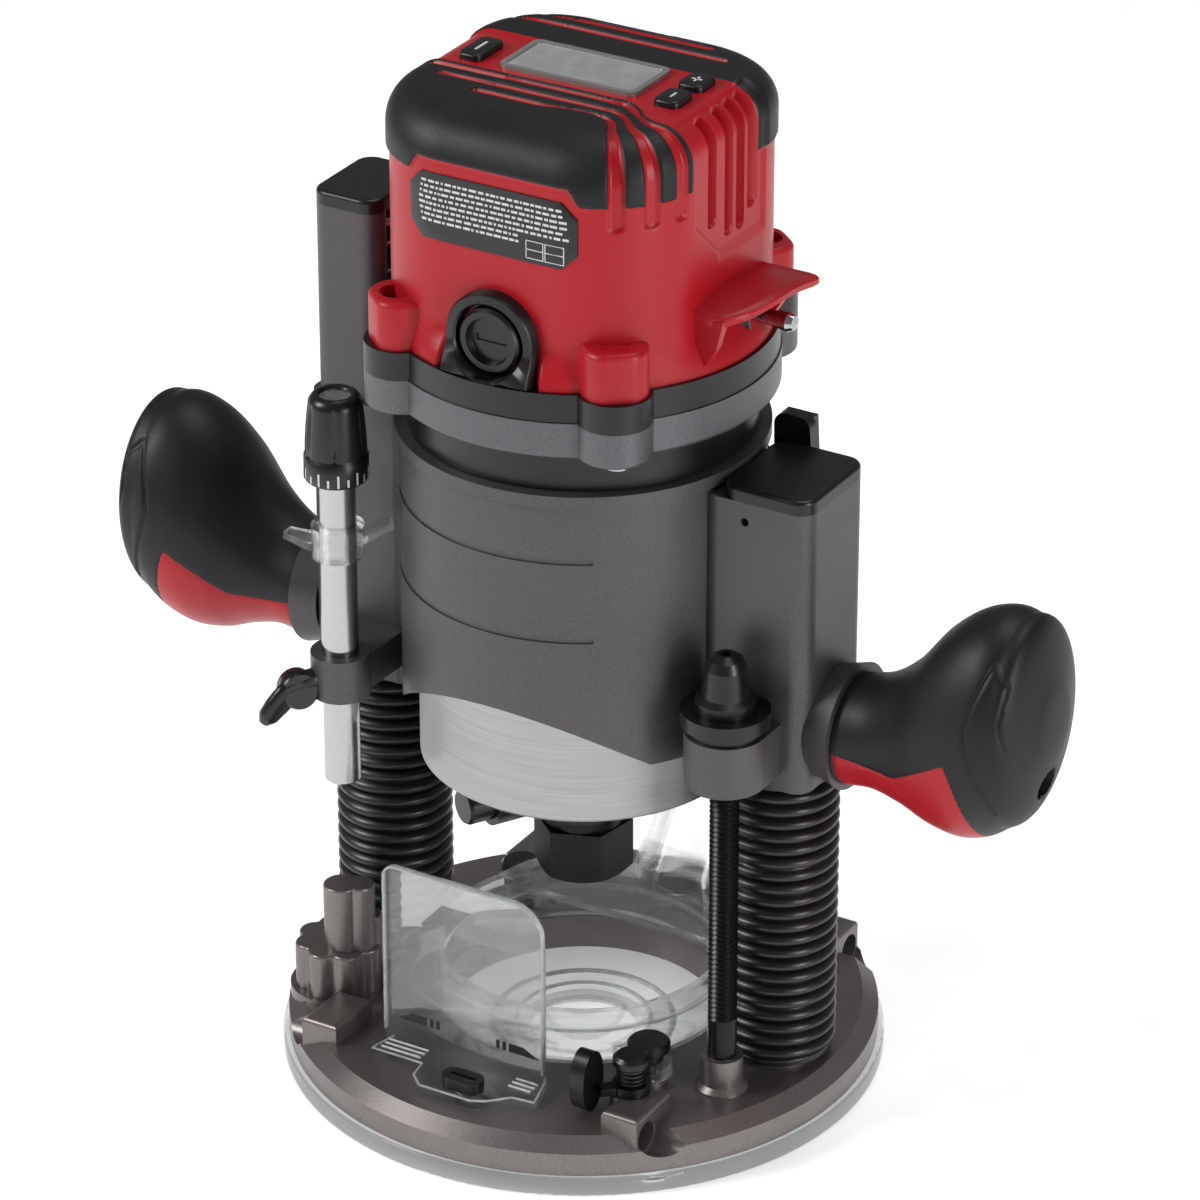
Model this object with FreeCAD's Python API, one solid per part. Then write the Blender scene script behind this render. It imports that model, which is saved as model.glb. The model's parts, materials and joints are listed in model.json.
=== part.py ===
import FreeCAD, Part
import math
import os

# Plunge router: a motor unit clamped in a plunge base.
# Millimetres. +Z is up, the origin is the centre of the sub-base's underside,
# the two columns stand on the X axis and -Y is the operator's front.
# Three assemblies: base (stands on the work), carriage (slides on the columns), motor.

V = FreeCAD.Vector
X, Y, Z = V(1, 0, 0), V(0, 1, 0), V(0, 0, 1)

# ---- fits -----------------------------------------------------------------
run_gap = 0.05            # radial clearance of a running fit
part_gap = 0.4            # air between neighbours that move past each other
screw_gap = 0.3           # radial clearance of a screw in its hole

# ---- motor and barrel -----------------------------------------------------
motor_r = 44.45           # 3.5 inch motor can
can_wall = 2.6
can_hang = 12.5           # how far the can hangs below the carriage casting
barrel_wall = 4.5
barrel_r = motor_r + run_gap + barrel_wall
barrel_height = 81.0
neck_height = 12.0        # black ring between the barrel and the motor's flange

# ---- columns --------------------------------------------------------------
column_inset = 12.2       # column axis outside the barrel
column_x = barrel_r + column_inset
column_r = 8.0
column_bore_r = 6.1
bush_wall = 2.0
bush_length = 18.0
bush_r = column_r + run_gap + bush_wall
plunge_stroke = 33.0      # down to the depth stop as it is set

# ---- sub-base and base casting --------------------------------------------
base_rim = 20.8
base_r = column_x + base_rim
sub_base_lip = 1.7
sub_base_r = base_r + sub_base_lip
sub_base_thick = 5.7
sub_bore_r = 15.1         # template guide bore
sub_seat_r = 17.5
sub_seat_depth = 2.4
rim_side = 6.7
rim_bevel_height = 3.3
rim_bevel_width = 4.5
base_top = sub_base_thick + rim_side + rim_bevel_height
base_screw_circle_r = base_r - 12.0
base_screw_r = 2.5
table_hole_circle_r = base_r - 14.0
table_hole_angle = 20.0
screw_count = 4
blind_top = base_top - 2.6

# ---- carriage levels ------------------------------------------------------
bellows_length = 89.3
carriage_low = base_top + bellows_length
barrel_low = carriage_low + 6.0
barrel_top = barrel_low + barrel_height
flange_low = barrel_top + neck_height
motor_low = carriage_low - can_hang
housing_height = 82.0
tower_height = 136.5
housing_half_y = 16.0
housing_inner_x = 45.0
housing_outer_x = column_x + 15.8
tower_half_y = 14.0
tower_gap = 3.0           # between the tower and the motor's flange
tower_outer_x = column_x + 14.8
cap_thick = 4.0
arch_rise = 15.7
arch_half_width = barrel_r - 10.4

# ---- bellows --------------------------------------------------------------
bellows_r = 16.2
bellows_root_r = 13.6
bellows_wall = 1.2
right_folds = 20
left_folds = 18

# ---- motor levels ---------------------------------------------------------
flange_r = 52.5
flange_height = 10.0
band_height = 8.0
lobe_angle = 50.0
lobe_r = 10.0
lobe_circle_r = 50.0
band_low = flange_low + flange_height
housing_low = band_low + band_height
housing_top = housing_low + 67.0
half_width = 44.4         # upper housing, half of its square plan
plan_corner = 28.0
shell_wall = 2.8
skin = 1.5                # rubber overmould thickness
boot_stand = 0.4          # how far the switch boot's seat stands off the wall
boot_r = 6.5
front_rubber_edge = -10.0
rear_rubber_edge = 15.2
rubber_drop_x = 27.0
rubber_low = housing_top - 12.0
rubber_side_low = housing_top - 17.0
lobe_rise = 16.0
skirt_height = 10.0
lobe_screw_r = 2.0
lobe_head_r = 3.4
lobe_screw_top = housing_low + 9.0

# ---- depth stop -----------------------------------------------------------
rod_x, rod_y = -(column_x - 6.4), -36.0
rod_r = 5.0
rod_low = carriage_low - 21.4
rod_high = carriage_low + 94.0
low_post_circle_r = 8.2
low_post_angle = 20.0
low_post_r = 3.9
turret_x, turret_y = rod_x - 4.4, rod_y + 3.3
turret_r = 12.6
turret_disc = 13.5
post_gap = 0.5
post_top = rod_low - plunge_stroke - post_gap

# ---- height stop ----------------------------------------------------------
stop_x, stop_y = column_x - 2.5, -26.0
stop_rod_r = 4.0
stop_boss_r = 5.8
stop_boss_top = base_top + 10.2

# ---- handles --------------------------------------------------------------
handle_z = carriage_low + 16.0
collar_r = 17.5
collar_low_x = column_x + 15.0
collar_high_x = column_x + 22.6
grip_low_x = collar_high_x + 0.3
bolt_r = 3.9
bolt_head_r = 6.5
bolt_reach = 38.0      # from the grip's inner end to the bolt head's seat

# ---- dust hood, chip shield, guide bores ----------------------------------
hood_r = 41.5
hood_wall = 2.5
hood_height = 16.3
roof_start_y = 16.0
roof_angle = 12.0
port_x = 8.0
port_y = 42.0
port_elbow = 15.0
port_lean = 38.5
port_r = 15.0
port_wall = 1.8
port_length = 34.0
ear_x, ear_y = 40.0, 33.0
shield_y = -(hood_r + 10.5)
shield_thick = 2.0
guide_y = 57.0
guide_bore_r = 4.1
guide_z = base_top - 1.0
guide_boss_low_x = 42.0
guide_boss_high_x = 53.0
guide_boss_rise = 2.6


# ---- shape helpers --------------------------------------------------------
def disc(radius, low, high, x=0.0, y=0.0):
    """Upright cylinder between two heights."""
    return Part.makeCylinder(radius, high - low, V(x, y, low), Z)


def ring(outer, inner, low, high, x=0.0, y=0.0):
    """Upright tube."""
    return disc(outer, low, high, x, y).cut(disc(inner, low - 1, high + 1, x, y))


def rod_along(radius, start, direction, length):
    """Cylinder from a point along any direction."""
    return Part.makeCylinder(radius, length, start, direction)


def slab(low_x, high_x, low_y, high_y, low_z, high_z):
    """Box from its six faces."""
    return Part.makeBox(high_x - low_x, high_y - low_y, high_z - low_z, V(low_x, low_y, low_z))


def rounded(low_x, high_x, low_y, high_y, low_z, high_z, corner):
    """Upright prism whose plan is a rectangle with round corners."""
    starts = [180, 270, 0, 90]
    centres = [(low_x + corner, low_y + corner), (high_x - corner, low_y + corner),
               (high_x - corner, high_y - corner), (low_x + corner, high_y - corner)]
    ends = []
    arcs = []
    for (x, y), start in zip(centres, starts):
        points = []
        for turn in (start, start + 45, start + 90):
            angle = math.radians(turn)
            points.append(V(x + corner * math.cos(angle), y + corner * math.sin(angle), low_z))
        arcs.append(Part.Arc(*points).toShape())
        ends.append((points[0], points[2]))
    edges = []
    for index, arc in enumerate(arcs):
        edges.append(arc)
        gap_start = ends[index][1]
        gap_end = ends[(index + 1) % 4][0]
        if gap_start.distanceToPoint(gap_end) > 1e-6:
            edges.append(Part.makeLine(gap_start, gap_end))
    return Part.Face(Part.Wire(edges)).extrude(V(0, 0, high_z - low_z))


def spun(profile, x=0.0, y=0.0):
    """Solid of revolution about the upright axis through (x, y); profile is (radius, height)."""
    points = [V(x + radius, y, height) for radius, height in profile]
    face = Part.Face(Part.makePolygon(points + [points[0]]))
    return face.revolve(V(x, y, 0), Z, 360)


def spun_along(profile, start, direction):
    """Solid of revolution about a line; profile is (radius, distance along the line)."""
    solid = spun(profile)
    solid.Placement = FreeCAD.Placement(start, FreeCAD.Rotation(Z, direction))
    return solid


def outline(points, low_z, high_z):
    """Prism from a closed plan of straight edges."""
    corners = [V(x, y, low_z) for x, y in points]
    return Part.Face(Part.makePolygon(corners + [corners[0]])).extrude(V(0, 0, high_z - low_z))


def outline_xz(points, low_y, high_y):
    """Prism from a closed front view of straight edges, as deep as low_y to high_y."""
    corners = [V(x, low_y, z) for x, z in points]
    return Part.Face(Part.makePolygon(corners + [corners[0]])).extrude(V(0, high_y - low_y, 0))


def turned(shape, angle, axis=Z, centre=V(0, 0, 0)):
    """A copy turned about a line."""
    copy = shape.copy()
    copy.rotate(centre, axis, angle)
    return copy


def joined(shapes):
    """One solid from overlapping ones, with its seams merged."""
    return shapes[0].multiFuse(shapes[1:]).removeSplitter()


def eased(shape, radius, choose):
    """Fillet the edges that choose picks."""
    return shape.makeFillet(radius, [edge for edge in shape.Edges if choose(edge)])


def at_angle(radius, angle, z=0.0):
    """Point on a circle about the machine's axis."""
    turn = math.radians(angle)
    return V(radius * math.cos(turn), radius * math.sin(turn), z)


def save(name, shape):
    """Write one node; several loose solids become a group."""
    solids = shape.Solids
    if not solids:
        raise ValueError(name + " has no solid")
    body = solids[0] if len(solids) == 1 else Part.makeCompound(solids)
    body.exportStep("parts/" + name + ".step")


# ---- base assembly --------------------------------------------------------
def base_screw_places():
    """Four screws half-way between the columns."""
    return [at_angle(base_screw_circle_r, 45.0 + 90.0 * index) for index in range(screw_count)]


def table_hole_places():
    """Four tapped holes for hanging the router under a table."""
    return [at_angle(table_hole_circle_r, table_hole_angle + 90.0 * index)
            for index in range(screw_count)]


screw_head_r = 4.6
screw_head_depth = 2.6


def base_screw_solid(place):
    """Countersunk screw from the underside into the casting."""
    x, y = place.x, place.y
    sink = 0.6
    profile = [(0, sink), (screw_head_r, sink), (base_screw_r, sink + screw_head_depth),
               (base_screw_r, blind_top - 1), (0, blind_top - 1)]
    screw = spun(profile, x, y)
    slot = slab(x - 3.0, x + 3.0, y - 0.6, y + 0.6, sink - 1, sink + 1.4)
    return screw.cut(slot)


def make_sub_base():
    """Clear disc with a stepped guide bore and countersunk holes."""
    plate = ring(sub_base_r, sub_bore_r, 0, sub_base_thick)
    plate = eased(plate, 1.0, lambda e: abs(e.BoundBox.XMax - sub_base_r) < 1e-3
                  and e.BoundBox.ZLength < 1e-6)
    tools = [disc(sub_seat_r, -1, sub_seat_depth)]
    for place in base_screw_places():
        cone = [(0, -1), (screw_head_r + screw_gap, -1), (screw_head_r + screw_gap, 0.6),
                (base_screw_r + screw_gap, 0.6 + screw_head_depth),
                (base_screw_r + screw_gap, sub_base_thick + 1), (0, sub_base_thick + 1)]
        tools.append(spun(cone, place.x, place.y))
    for place in table_hole_places():
        tools.append(disc(base_screw_r + screw_gap, -1, sub_base_thick + 1, place.x, place.y))
    return plate.cut(tools)


def guide_bosses():
    """Raised bosses over the edge guide's bores, one in each quarter."""
    top = guide_z + guide_bore_r + guide_boss_rise
    shapes = []
    for side in (1, -1):
        for face in (1, -1):
            inner = guide_y - 13.0
            outer = guide_y + 5.0
            low, high = sorted((face * inner, face * outer))
            left, right = sorted((side * guide_boss_low_x, side * guide_boss_high_x))
            boss = slab(left, right, low, high, base_top - 3, top)
            boss = eased(boss, 1.5, lambda e: e.BoundBox.ZMin > top - 1e-3)
            shapes.append(boss)
    return shapes


def guide_cuts():
    """Bores through the bosses and open grooves from there to the rim."""
    shapes = []
    for side in (1, -1):
        for face in (1, -1):
            y = face * guide_y
            start = V(side * (guide_boss_low_x + 2), y, guide_z)
            shapes.append(rod_along(guide_bore_r, start, X * side, base_r))
            run = V(side * guide_boss_high_x, y, guide_z)
            shapes.append(rod_along(guide_bore_r + 0.8, run, X * side, base_r))
            left, right = sorted((side * guide_boss_high_x, side * base_r))
            width = guide_bore_r + 0.8
            shapes.append(slab(left, right, y - width, y + width, guide_z, guide_z + 12))
    return shapes


clamp_x, clamp_y = 43.5, guide_y - 8.5
socket_r = column_r + 4.5
hood_seat_r = hood_r - hood_wall - 0.5


def make_base_casting():
    """Die-cast plate with column sockets, turret pedestal, stop boss and guide bosses."""
    low = sub_base_thick
    profile = [(hood_seat_r, low), (base_r, low), (base_r, low + rim_side),
               (base_r - rim_bevel_width, base_top), (hood_seat_r, base_top)]
    shapes = [spun(profile)]
    shapes += guide_bosses()
    pedestal_top = base_top + 1.2
    shapes.append(disc(turret_r + 1.4, base_top - 2, pedestal_top, turret_x, turret_y))
    foot = spun([(0, base_top - 1), (stop_boss_r + 1.6, base_top - 1), (stop_boss_r + 1.4, base_top + 0.6),
                 (stop_boss_r, base_top + 2), (stop_boss_r, stop_boss_top), (0, stop_boss_top)],
                stop_x, stop_y)
    shapes.append(foot)
    for side in (1, -1):
        shapes.append(disc(socket_r, base_top - 1, base_top + 1.5, side * column_x, 0))
    for side in (1, -1):
        shapes.append(disc(5.5, base_top - 1, base_top + 2.2, side * ear_x, -side * ear_y))
    clamp_top = guide_z + guide_bore_r + guide_boss_rise
    for face in (1, -1):
        shapes.append(disc(6.0, base_top - 1, clamp_top, clamp_x, face * clamp_y))
    casting = joined(shapes)
    tools = guide_cuts()
    for side in (1, -1):
        tools.append(disc(column_r, low + 1.5, base_top + 3, side * column_x, 0))
        tools.append(disc(2.1, base_top - 5, base_top + 4, side * ear_x, -side * ear_y))
    for place in base_screw_places() + table_hole_places():
        tools.append(disc(base_screw_r, low - 1, blind_top, place.x, place.y))
    tools.append(disc(stop_rod_r - 0.6, base_top - 5, stop_boss_top + 1, stop_x, stop_y))
    tools.append(disc(3.0, base_top - 6, pedestal_top + 1, turret_x, turret_y))
    tools.append(disc(2.1, base_top - 6, base_top + 1, latch_x, latch_y))
    for face in (1, -1):
        tools.append(disc(2.6, base_top - 4, clamp_top + 1, clamp_x, face * clamp_y))
    return casting.cut(tools)


def make_column(side, top):
    """Hollow steel column pressed into the base."""
    low = sub_base_thick + 1.5
    column = ring(column_r, column_bore_r, low, top, side * column_x, 0)
    return eased(column, 0.8, lambda e: e.BoundBox.ZMin > top - 1e-3)


def make_bellows(side, folds):
    """Rubber bellows between the base and the carriage."""
    low = base_top + 1.9
    high = carriage_low - part_gap
    pitch = (high - low) / folds
    outer = []
    inner = []
    for index in range(folds):
        z = low + index * pitch
        outer += [(bellows_root_r, z), (bellows_r, z + 0.35 * pitch), (bellows_r, z + 0.65 * pitch)]
        inner += [(bellows_root_r - bellows_wall, z), (bellows_r - bellows_wall, z + 0.5 * pitch)]
    outer.append((bellows_root_r, high))
    inner.append((bellows_root_r - bellows_wall, high))
    return spun(outer + inner[::-1], side * column_x, 0)


spring_r = column_bore_r - 0.5
spring_wire = 1.2


def make_spring(side, top):
    """Compression spring in the hollow column, as a grooved sleeve of the coil's size."""
    low = sub_base_thick + 8.0
    coils = 24
    pitch = (top - low) / coils
    bore = spring_r - spring_wire
    profile = []
    for index in range(coils):
        z = low + index * pitch
        profile += [(spring_r - 0.5 * spring_wire, z), (spring_r, z + 0.35 * pitch),
                    (spring_r, z + 0.65 * pitch)]
    profile.append((spring_r - 0.5 * spring_wire, top))
    profile += [(bore, top), (bore, low)]
    return spun(profile, side * column_x, 0)


def make_stop_turret():
    """Three-step depth stop: a fluted disc with a tall double post and two lower posts."""
    low = base_top + 1.2 + 0.1
    disc_top = low + turret_disc
    shapes = [disc(turret_r - 1.6, low, disc_top, turret_x, turret_y)]
    lobe_count = 8
    for index in range(lobe_count):
        offset = at_angle(turret_r - 4.2, 360.0 / lobe_count * index)
        shapes.append(disc(4.2, low, disc_top, turret_x + offset.x, turret_y + offset.y))
    shapes.append(disc(6.3, disc_top - 1, post_top, rod_x - 1.0, rod_y + 0.6))
    post_heights = [post_top - 11.0, post_top - 14.5]
    for index, height in enumerate(post_heights):
        offset = at_angle(low_post_circle_r, low_post_angle + 80.0 * index)
        shapes.append(disc(low_post_r, disc_top - 1, height, turret_x + offset.x, turret_y + offset.y))
    turret = joined(shapes)
    bore = disc(3.0 + run_gap, low - 1, disc_top - 3.2, turret_x, turret_y)
    above = disc(3.0 + run_gap, disc_top - 4, disc_top + 20, turret_x, turret_y)
    return turret.cut([bore, above])


def make_turret_screw():
    """Pivot screw of the turret."""
    low = base_top - 5.5
    top = base_top + 1.3 + turret_disc - 1.5
    return disc(3.0, low, top, turret_x, turret_y)


latch_x, latch_y = 1.3, shield_y - 14.0
foot_top = base_top + 2.6


def make_chip_shield():
    """Clear plate with a slotted foot; it slides sideways off its latch."""
    low_x, high_x = -31.5, 19.0
    plate = slab(low_x, high_x, shield_y - shield_thick, shield_y, base_top + part_gap / 2, base_top + 56.5)
    corners = [(low_x, 4.0), (high_x, 10.0)]
    for x, radius in corners:
        plate = plate.makeFillet(radius, [e for e in plate.Edges if e.BoundBox.XLength < 1e-6
                                          and e.BoundBox.ZLength < 1e-6
                                          and e.BoundBox.ZMin > base_top + 50
                                          and abs(e.BoundBox.XMin - x) < 1e-3])
    back = shield_y - 0.5
    step = shield_y - 11.0
    tongue = shield_y - 19.0
    foot = outline([(low_x + 2, back), (high_x, back), (high_x + 3, step), (15.0, step - 1),
                    (10.0, tongue + 2), (6.0, tongue), (-10.0, tongue), (-14.0, tongue + 4),
                    (-15.0, step + 2), (low_x, step + 2)],
                   base_top + part_gap / 2, foot_top)
    ribs = []
    for index in range(3):
        y = step + 2.6 + 2.0 * index
        ribs.append(slab(low_x + 3, -16.0, y, y + 0.8, foot_top - 0.5, foot_top + 0.8))
        ribs.append(slab(12.0, high_x, y, y + 0.8, foot_top - 0.5, foot_top + 0.8))
    shield = joined([plate, foot] + ribs)
    slot = rounded(latch_x - 3.0, latch_x + 10.0, latch_y - 2.6, latch_y + 2.6, base_top - 1,
                   foot_top + 1, 2.5)
    return shield.cut(slot)


def make_shield_latch():
    """Wing-headed screw that the shield's slot slides under."""
    head_low = foot_top + part_gap / 2
    stem = disc(2.1, base_top - 5.5, head_low + 1, latch_x, latch_y)
    head = rounded(latch_x - 6.0, latch_x + 6.0, latch_y - 3.2, latch_y + 3.2, head_low, head_low + 3.4, 3.0)
    cross = slab(latch_x - 4.0, latch_x + 4.0, latch_y - 0.6, latch_y + 0.6, head_low + 2.2, head_low + 4)
    return joined([stem, head]).cut(cross)


def port_axis():
    """Elbow centre and direction of the dust port."""
    lean = math.radians(port_lean)
    return V(port_x, port_y, base_top + port_elbow), V(0, math.sin(lean), math.cos(lean))


def under_roof(offset):
    """Space below the hood's level front rim and its roof that climbs to the rear."""
    rim = base_top + hood_height - offset
    climb = math.tan(math.radians(roof_angle))
    reach = 80.0
    points = [(-reach, base_top - 1), (reach, base_top - 1), (reach, rim + (reach - roof_start_y) * climb),
              (roof_start_y, rim), (-reach, rim)]
    corners = [V(-reach, y, z) for y, z in points]
    return Part.Face(Part.makePolygon(corners + [corners[0]])).extrude(V(2 * reach, 0, 0))


def port_form(radius, low, length):
    """Upright stub, elbow and leaning tube of the port, as one solid."""
    elbow, direction = port_axis()
    return joined([disc(radius, low, elbow.z, elbow.x, elbow.y), Part.makeSphere(radius, elbow),
                   rod_along(radius, elbow, direction, length)])


def make_dust_hood():
    """Clear hood round the cutter: open in front, roofed behind, with a leaning port."""
    low = base_top + 0.1
    elbow, direction = port_axis()
    tall = base_top + 60
    body = disc(hood_r, low, tall).common(under_roof(0.0))
    lip = spun_along([(port_r - 0.5, port_length - 5), (port_r + 1.2, port_length - 5),
                      (port_r + 1.2, port_length - 1), (port_r - 0.5, port_length - 1)], elbow, direction)
    shapes = [body, port_form(port_r, low, port_length), lip]
    for side in (1, -1):
        x, y = side * ear_x, -side * ear_y
        inner = V(x, y, 0) * ((hood_r - 1.0) / V(x, y, 0).Length)
        ear_low = base_top + 2.3
        shapes.append(disc(6.5, ear_low, ear_low + 4.0, x, y))
        shapes.append(disc(6.5, ear_low, ear_low + 4.0, inner.x, inner.y))
    inside = disc(hood_r - hood_wall, low - 1, tall)
    front = inside.common(slab(-60, 60, -60, roof_start_y, low - 1, tall))
    port_bore = port_form(port_r - port_wall, low - 1, port_length + 1)
    tools = [inside.common(under_roof(hood_wall)), front, port_bore]
    for side in (1, -1):
        tools.append(disc(2.1 + screw_gap, base_top, base_top + 9, side * ear_x, -side * ear_y))
        tools.append(disc(5.5 + part_gap, base_top - 1, base_top + 2.25, side * ear_x, -side * ear_y))
    return joined(shapes).cut(tools)


def make_hood_screw(side):
    """Round-headed thumb screw through a hood ear."""
    x, y = side * ear_x, -side * ear_y
    seat = base_top + 6.4
    profile = [(0, base_top - 4), (2.0, base_top - 4), (2.0, seat + 0.1), (4.0, seat + 0.1),
               (4.0, seat + 2.5),
               (5.9, seat + 3.4), (5.9, seat + 5.2), (5.2, seat + 6.0), (0, seat + 6.0)]
    return spun(profile, x, y)


def make_rod_clamp(face):
    """Spring-loaded lever that clamps an edge-guide rod; its paddle points along the rim."""
    x, y = clamp_x, face * clamp_y
    seat = guide_z + guide_bore_r + guide_boss_rise + 0.2
    profile = [(0, base_top - 3), (2.5, base_top - 3), (2.5, seat), (5.2, seat), (5.2, seat + 2.6),
               (2.6, seat + 2.6), (2.6, seat + 8.0), (5.0, seat + 8.4), (5.0, seat + 10.2),
               (4.0, seat + 11.2), (0, seat + 11.2)]
    post = spun(profile, x, y)
    arm = slab(x - 9.0, x, y - 1.8, y + 1.8, seat + 0.2, seat + 2.4)
    arm = turned(arm, face * -48.0, Z, V(x, y, 0))
    paddle_x, paddle_y = x - 9.6, face * (clamp_y + 7.4)
    paddle = rod_along(6.0, V(paddle_x - 2.2, paddle_y, seat + 2.0), X, 4.4)
    stretch = FreeCAD.Matrix()
    stretch.move(V(-paddle_x, -paddle_y, -(seat + 2.0)))
    stretch.scale(V(1.0, 0.9, 1.5))
    stretch.move(V(paddle_x, paddle_y, seat + 2.0 + 2.2))
    paddle = paddle.transformGeometry(stretch)
    return joined([post, arm, paddle])


def make_clamp_spring(face):
    """Coil between the clamp's lever and its cap, as a grooved sleeve."""
    seat = guide_z + guide_bore_r + guide_boss_rise + 0.2
    low, high = seat + 2.7, seat + 7.9
    turns = 4
    pitch = (high - low) / turns
    profile = []
    for index in range(turns):
        z = low + index * pitch
        profile += [(3.4, z), (4.0, z + 0.3 * pitch), (4.0, z + 0.7 * pitch)]
    profile += [(3.4, high), (2.9, high), (2.9, low)]
    return spun(profile, clamp_x, face * clamp_y)


stop_nut_seat = carriage_low + 26.7


def make_height_stop_rod():
    """Threaded rod fixed in the base; the nut on it stops the carriage's rise."""
    low = base_top - 4.0
    thread_low = base_top + 22.0
    top = stop_nut_seat + 11.0
    profile = [(0, low), (stop_rod_r - 0.6, low), (stop_rod_r - 0.6, stop_boss_top),
               (stop_rod_r, stop_boss_top),
               (stop_rod_r, thread_low)]
    pitch = 1.5
    count = int((top - thread_low) / pitch)
    for index in range(count):
        z = thread_low + index * pitch
        profile += [(stop_rod_r - 0.7, z + 0.5 * pitch), (stop_rod_r, z + pitch)]
    profile += [(stop_rod_r - 0.7, thread_low + count * pitch + 0.8), (0, thread_low + count * pitch + 0.8)]
    return spun(profile, stop_x, stop_y)


def make_height_stop_nut():
    """Domed nut that turns on the height-stop rod."""
    low = stop_nut_seat + 0.1
    profile = [(stop_rod_r + run_gap, low), (8.2, low), (8.2, low + 3.0), (6.4, low + 4.2), (5.6, low + 12.0),
               (4.6, low + 14.6), (2.4, low + 16.0), (1.4, low + 16.0), (1.4, low + 14.2), (0, low + 14.2),
               (0, low + 13.2), (stop_rod_r + run_gap, low + 13.2)]
    return spun(profile, stop_x, stop_y)


# ---- carriage assembly ----------------------------------------------------
rod_boss_low, rod_boss_high = carriage_low + 5.5, carriage_low + 18.0
lug_low, lug_high = carriage_low + 5.0, carriage_low + 20.0
lug_r = 11.0
tower_inner_x = flange_r + tower_gap
right_top = carriage_low + housing_height
left_top = carriage_low + tower_height


def grooves_in_pad():
    """Two shallow arcs round the blank front pad of the barrel."""
    shapes = []
    for height, depth in ((barrel_low + 61.5, 0.5), (barrel_low + 38.5, 0.5)):
        sector = ring(barrel_r + 1, barrel_r - depth, height - 0.8, height + 0.8)
        wedge = outline([(0, 0), (-90, -60), (-90, -140), (40, -140), (60, -90)], 0, 400)
        shapes.append(sector.common(wedge))
    return shapes


def make_plunge_casting():
    """Barrel, column housings, left tower, handle necks, rod bracket and stop lug."""
    low_x = housing_inner_x
    right = rounded(low_x, housing_outer_x, -housing_half_y, housing_half_y, carriage_low, right_top, 5.0)
    left = rounded(-housing_outer_x, -low_x, -housing_half_y, housing_half_y, carriage_low, right_top, 5.0)
    tower = rounded(-tower_outer_x, -tower_inner_x, -tower_half_y, tower_half_y, right_top - 6, left_top, 5.0)
    barrel = disc(barrel_r, barrel_low, barrel_top)
    lip = disc(barrel_r + 1.2, barrel_top - 3.5, barrel_top)
    shapes = [barrel, lip, right, left, tower]
    for side in (1, -1):
        start = V(side * (housing_outer_x - 6), 0, handle_z)
        neck = rod_along(13.5, start, X * side, collar_low_x - housing_outer_x + 8)
        collar = Part.makeCone(collar_r - 2.2, collar_r, collar_high_x - collar_low_x,
                               V(side * collar_low_x, 0, handle_z), X * side)
        shapes += [neck, collar]
    shapes.append(disc(8.2, rod_boss_low, rod_boss_high, rod_x, rod_y))
    arm_root = V(-(column_x - 4.0), -housing_half_y + 3, 0)
    arm = outline([(rod_x - 6.5, rod_y + 2), (rod_x + 7.0, rod_y + 1), (arm_root.x + 10, arm_root.y),
                   (arm_root.x - 10, arm_root.y)], rod_boss_low + 1.0, rod_boss_high - 1.0)
    shapes.append(arm)
    shapes.append(disc(lug_r, lug_low, lug_high, stop_x, stop_y))
    shapes.append(outline([(stop_x - lug_r, stop_y), (stop_x + lug_r, stop_y), (stop_x + lug_r, -10),
                           (stop_x - lug_r, -10)], lug_low, lug_high))
    ear_half = 9.0
    for side in (1, -1):
        low, high = sorted((side * 2.0, side * 12.0))
        shapes.append(slab(low, high, barrel_r - 4, barrel_r + 14, clamp_z - ear_half, clamp_z + ear_half))
    casting = joined(shapes)
    arch_r = (arch_half_width ** 2 + arch_rise ** 2) / (2 * arch_rise)
    arch_z = barrel_low + arch_rise - arch_r
    arch = rod_along(arch_r, V(0, -barrel_r - 5, arch_z), Y, barrel_r + 5)
    arch = arch.common(slab(-arch_half_width - 2, arch_half_width + 2, -barrel_r - 6, 0, 0, barrel_top))
    tools = [arch, disc(motor_r + run_gap, carriage_low - 1, barrel_top + 1)]
    for side, top in ((1, right_top + 1), (-1, left_top + 1)):
        tools.append(disc(bush_r, carriage_low - 1, top, side * column_x, 0))
        tools.append(rod_along(bolt_r + 0.1, V(side * (column_x + bush_r - 1), 0, handle_z), X * side, 40))
    tools.append(slab(-1.6, 1.6, motor_r - 4, barrel_r + 20, carriage_low, barrel_top + 1))
    tools.append(disc(rod_r + run_gap, rod_boss_low - 1, rod_boss_high + 1, rod_x, rod_y))
    tools.append(disc(stop_rod_r + 1.2, lug_low - 1, lug_high + 1, stop_x, stop_y))
    tools.append(rod_along(2.6, V(-20, barrel_r + 8, clamp_z), X, 40))
    start, direction = lock_screw_axis()
    tools.append(rod_along(2.5, start - direction * 1.0, direction, 20))
    tools.append(rod_along(1.2, V(column_x - 3, -housing_half_y - 1, right_top - 5.5), Y, 4))
    tools.append(rod_along(4.0, V(column_x, housing_half_y - 5.8, lever_z), Y, 12))
    tools += grooves_in_pad()
    return casting.cut(tools)


clamp_z = barrel_low + 42.0
lever_z = carriage_low + 44.0


def lock_screw_axis():
    """Start on the depth rod's surface and outward direction of its lock screw."""
    direction = V(-0.62, -0.74, -0.26)
    direction.normalize()
    middle = V(rod_x, rod_y, 0.5 * (rod_boss_low + rod_boss_high))
    return middle + direction * (rod_r + 1.2), direction


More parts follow.
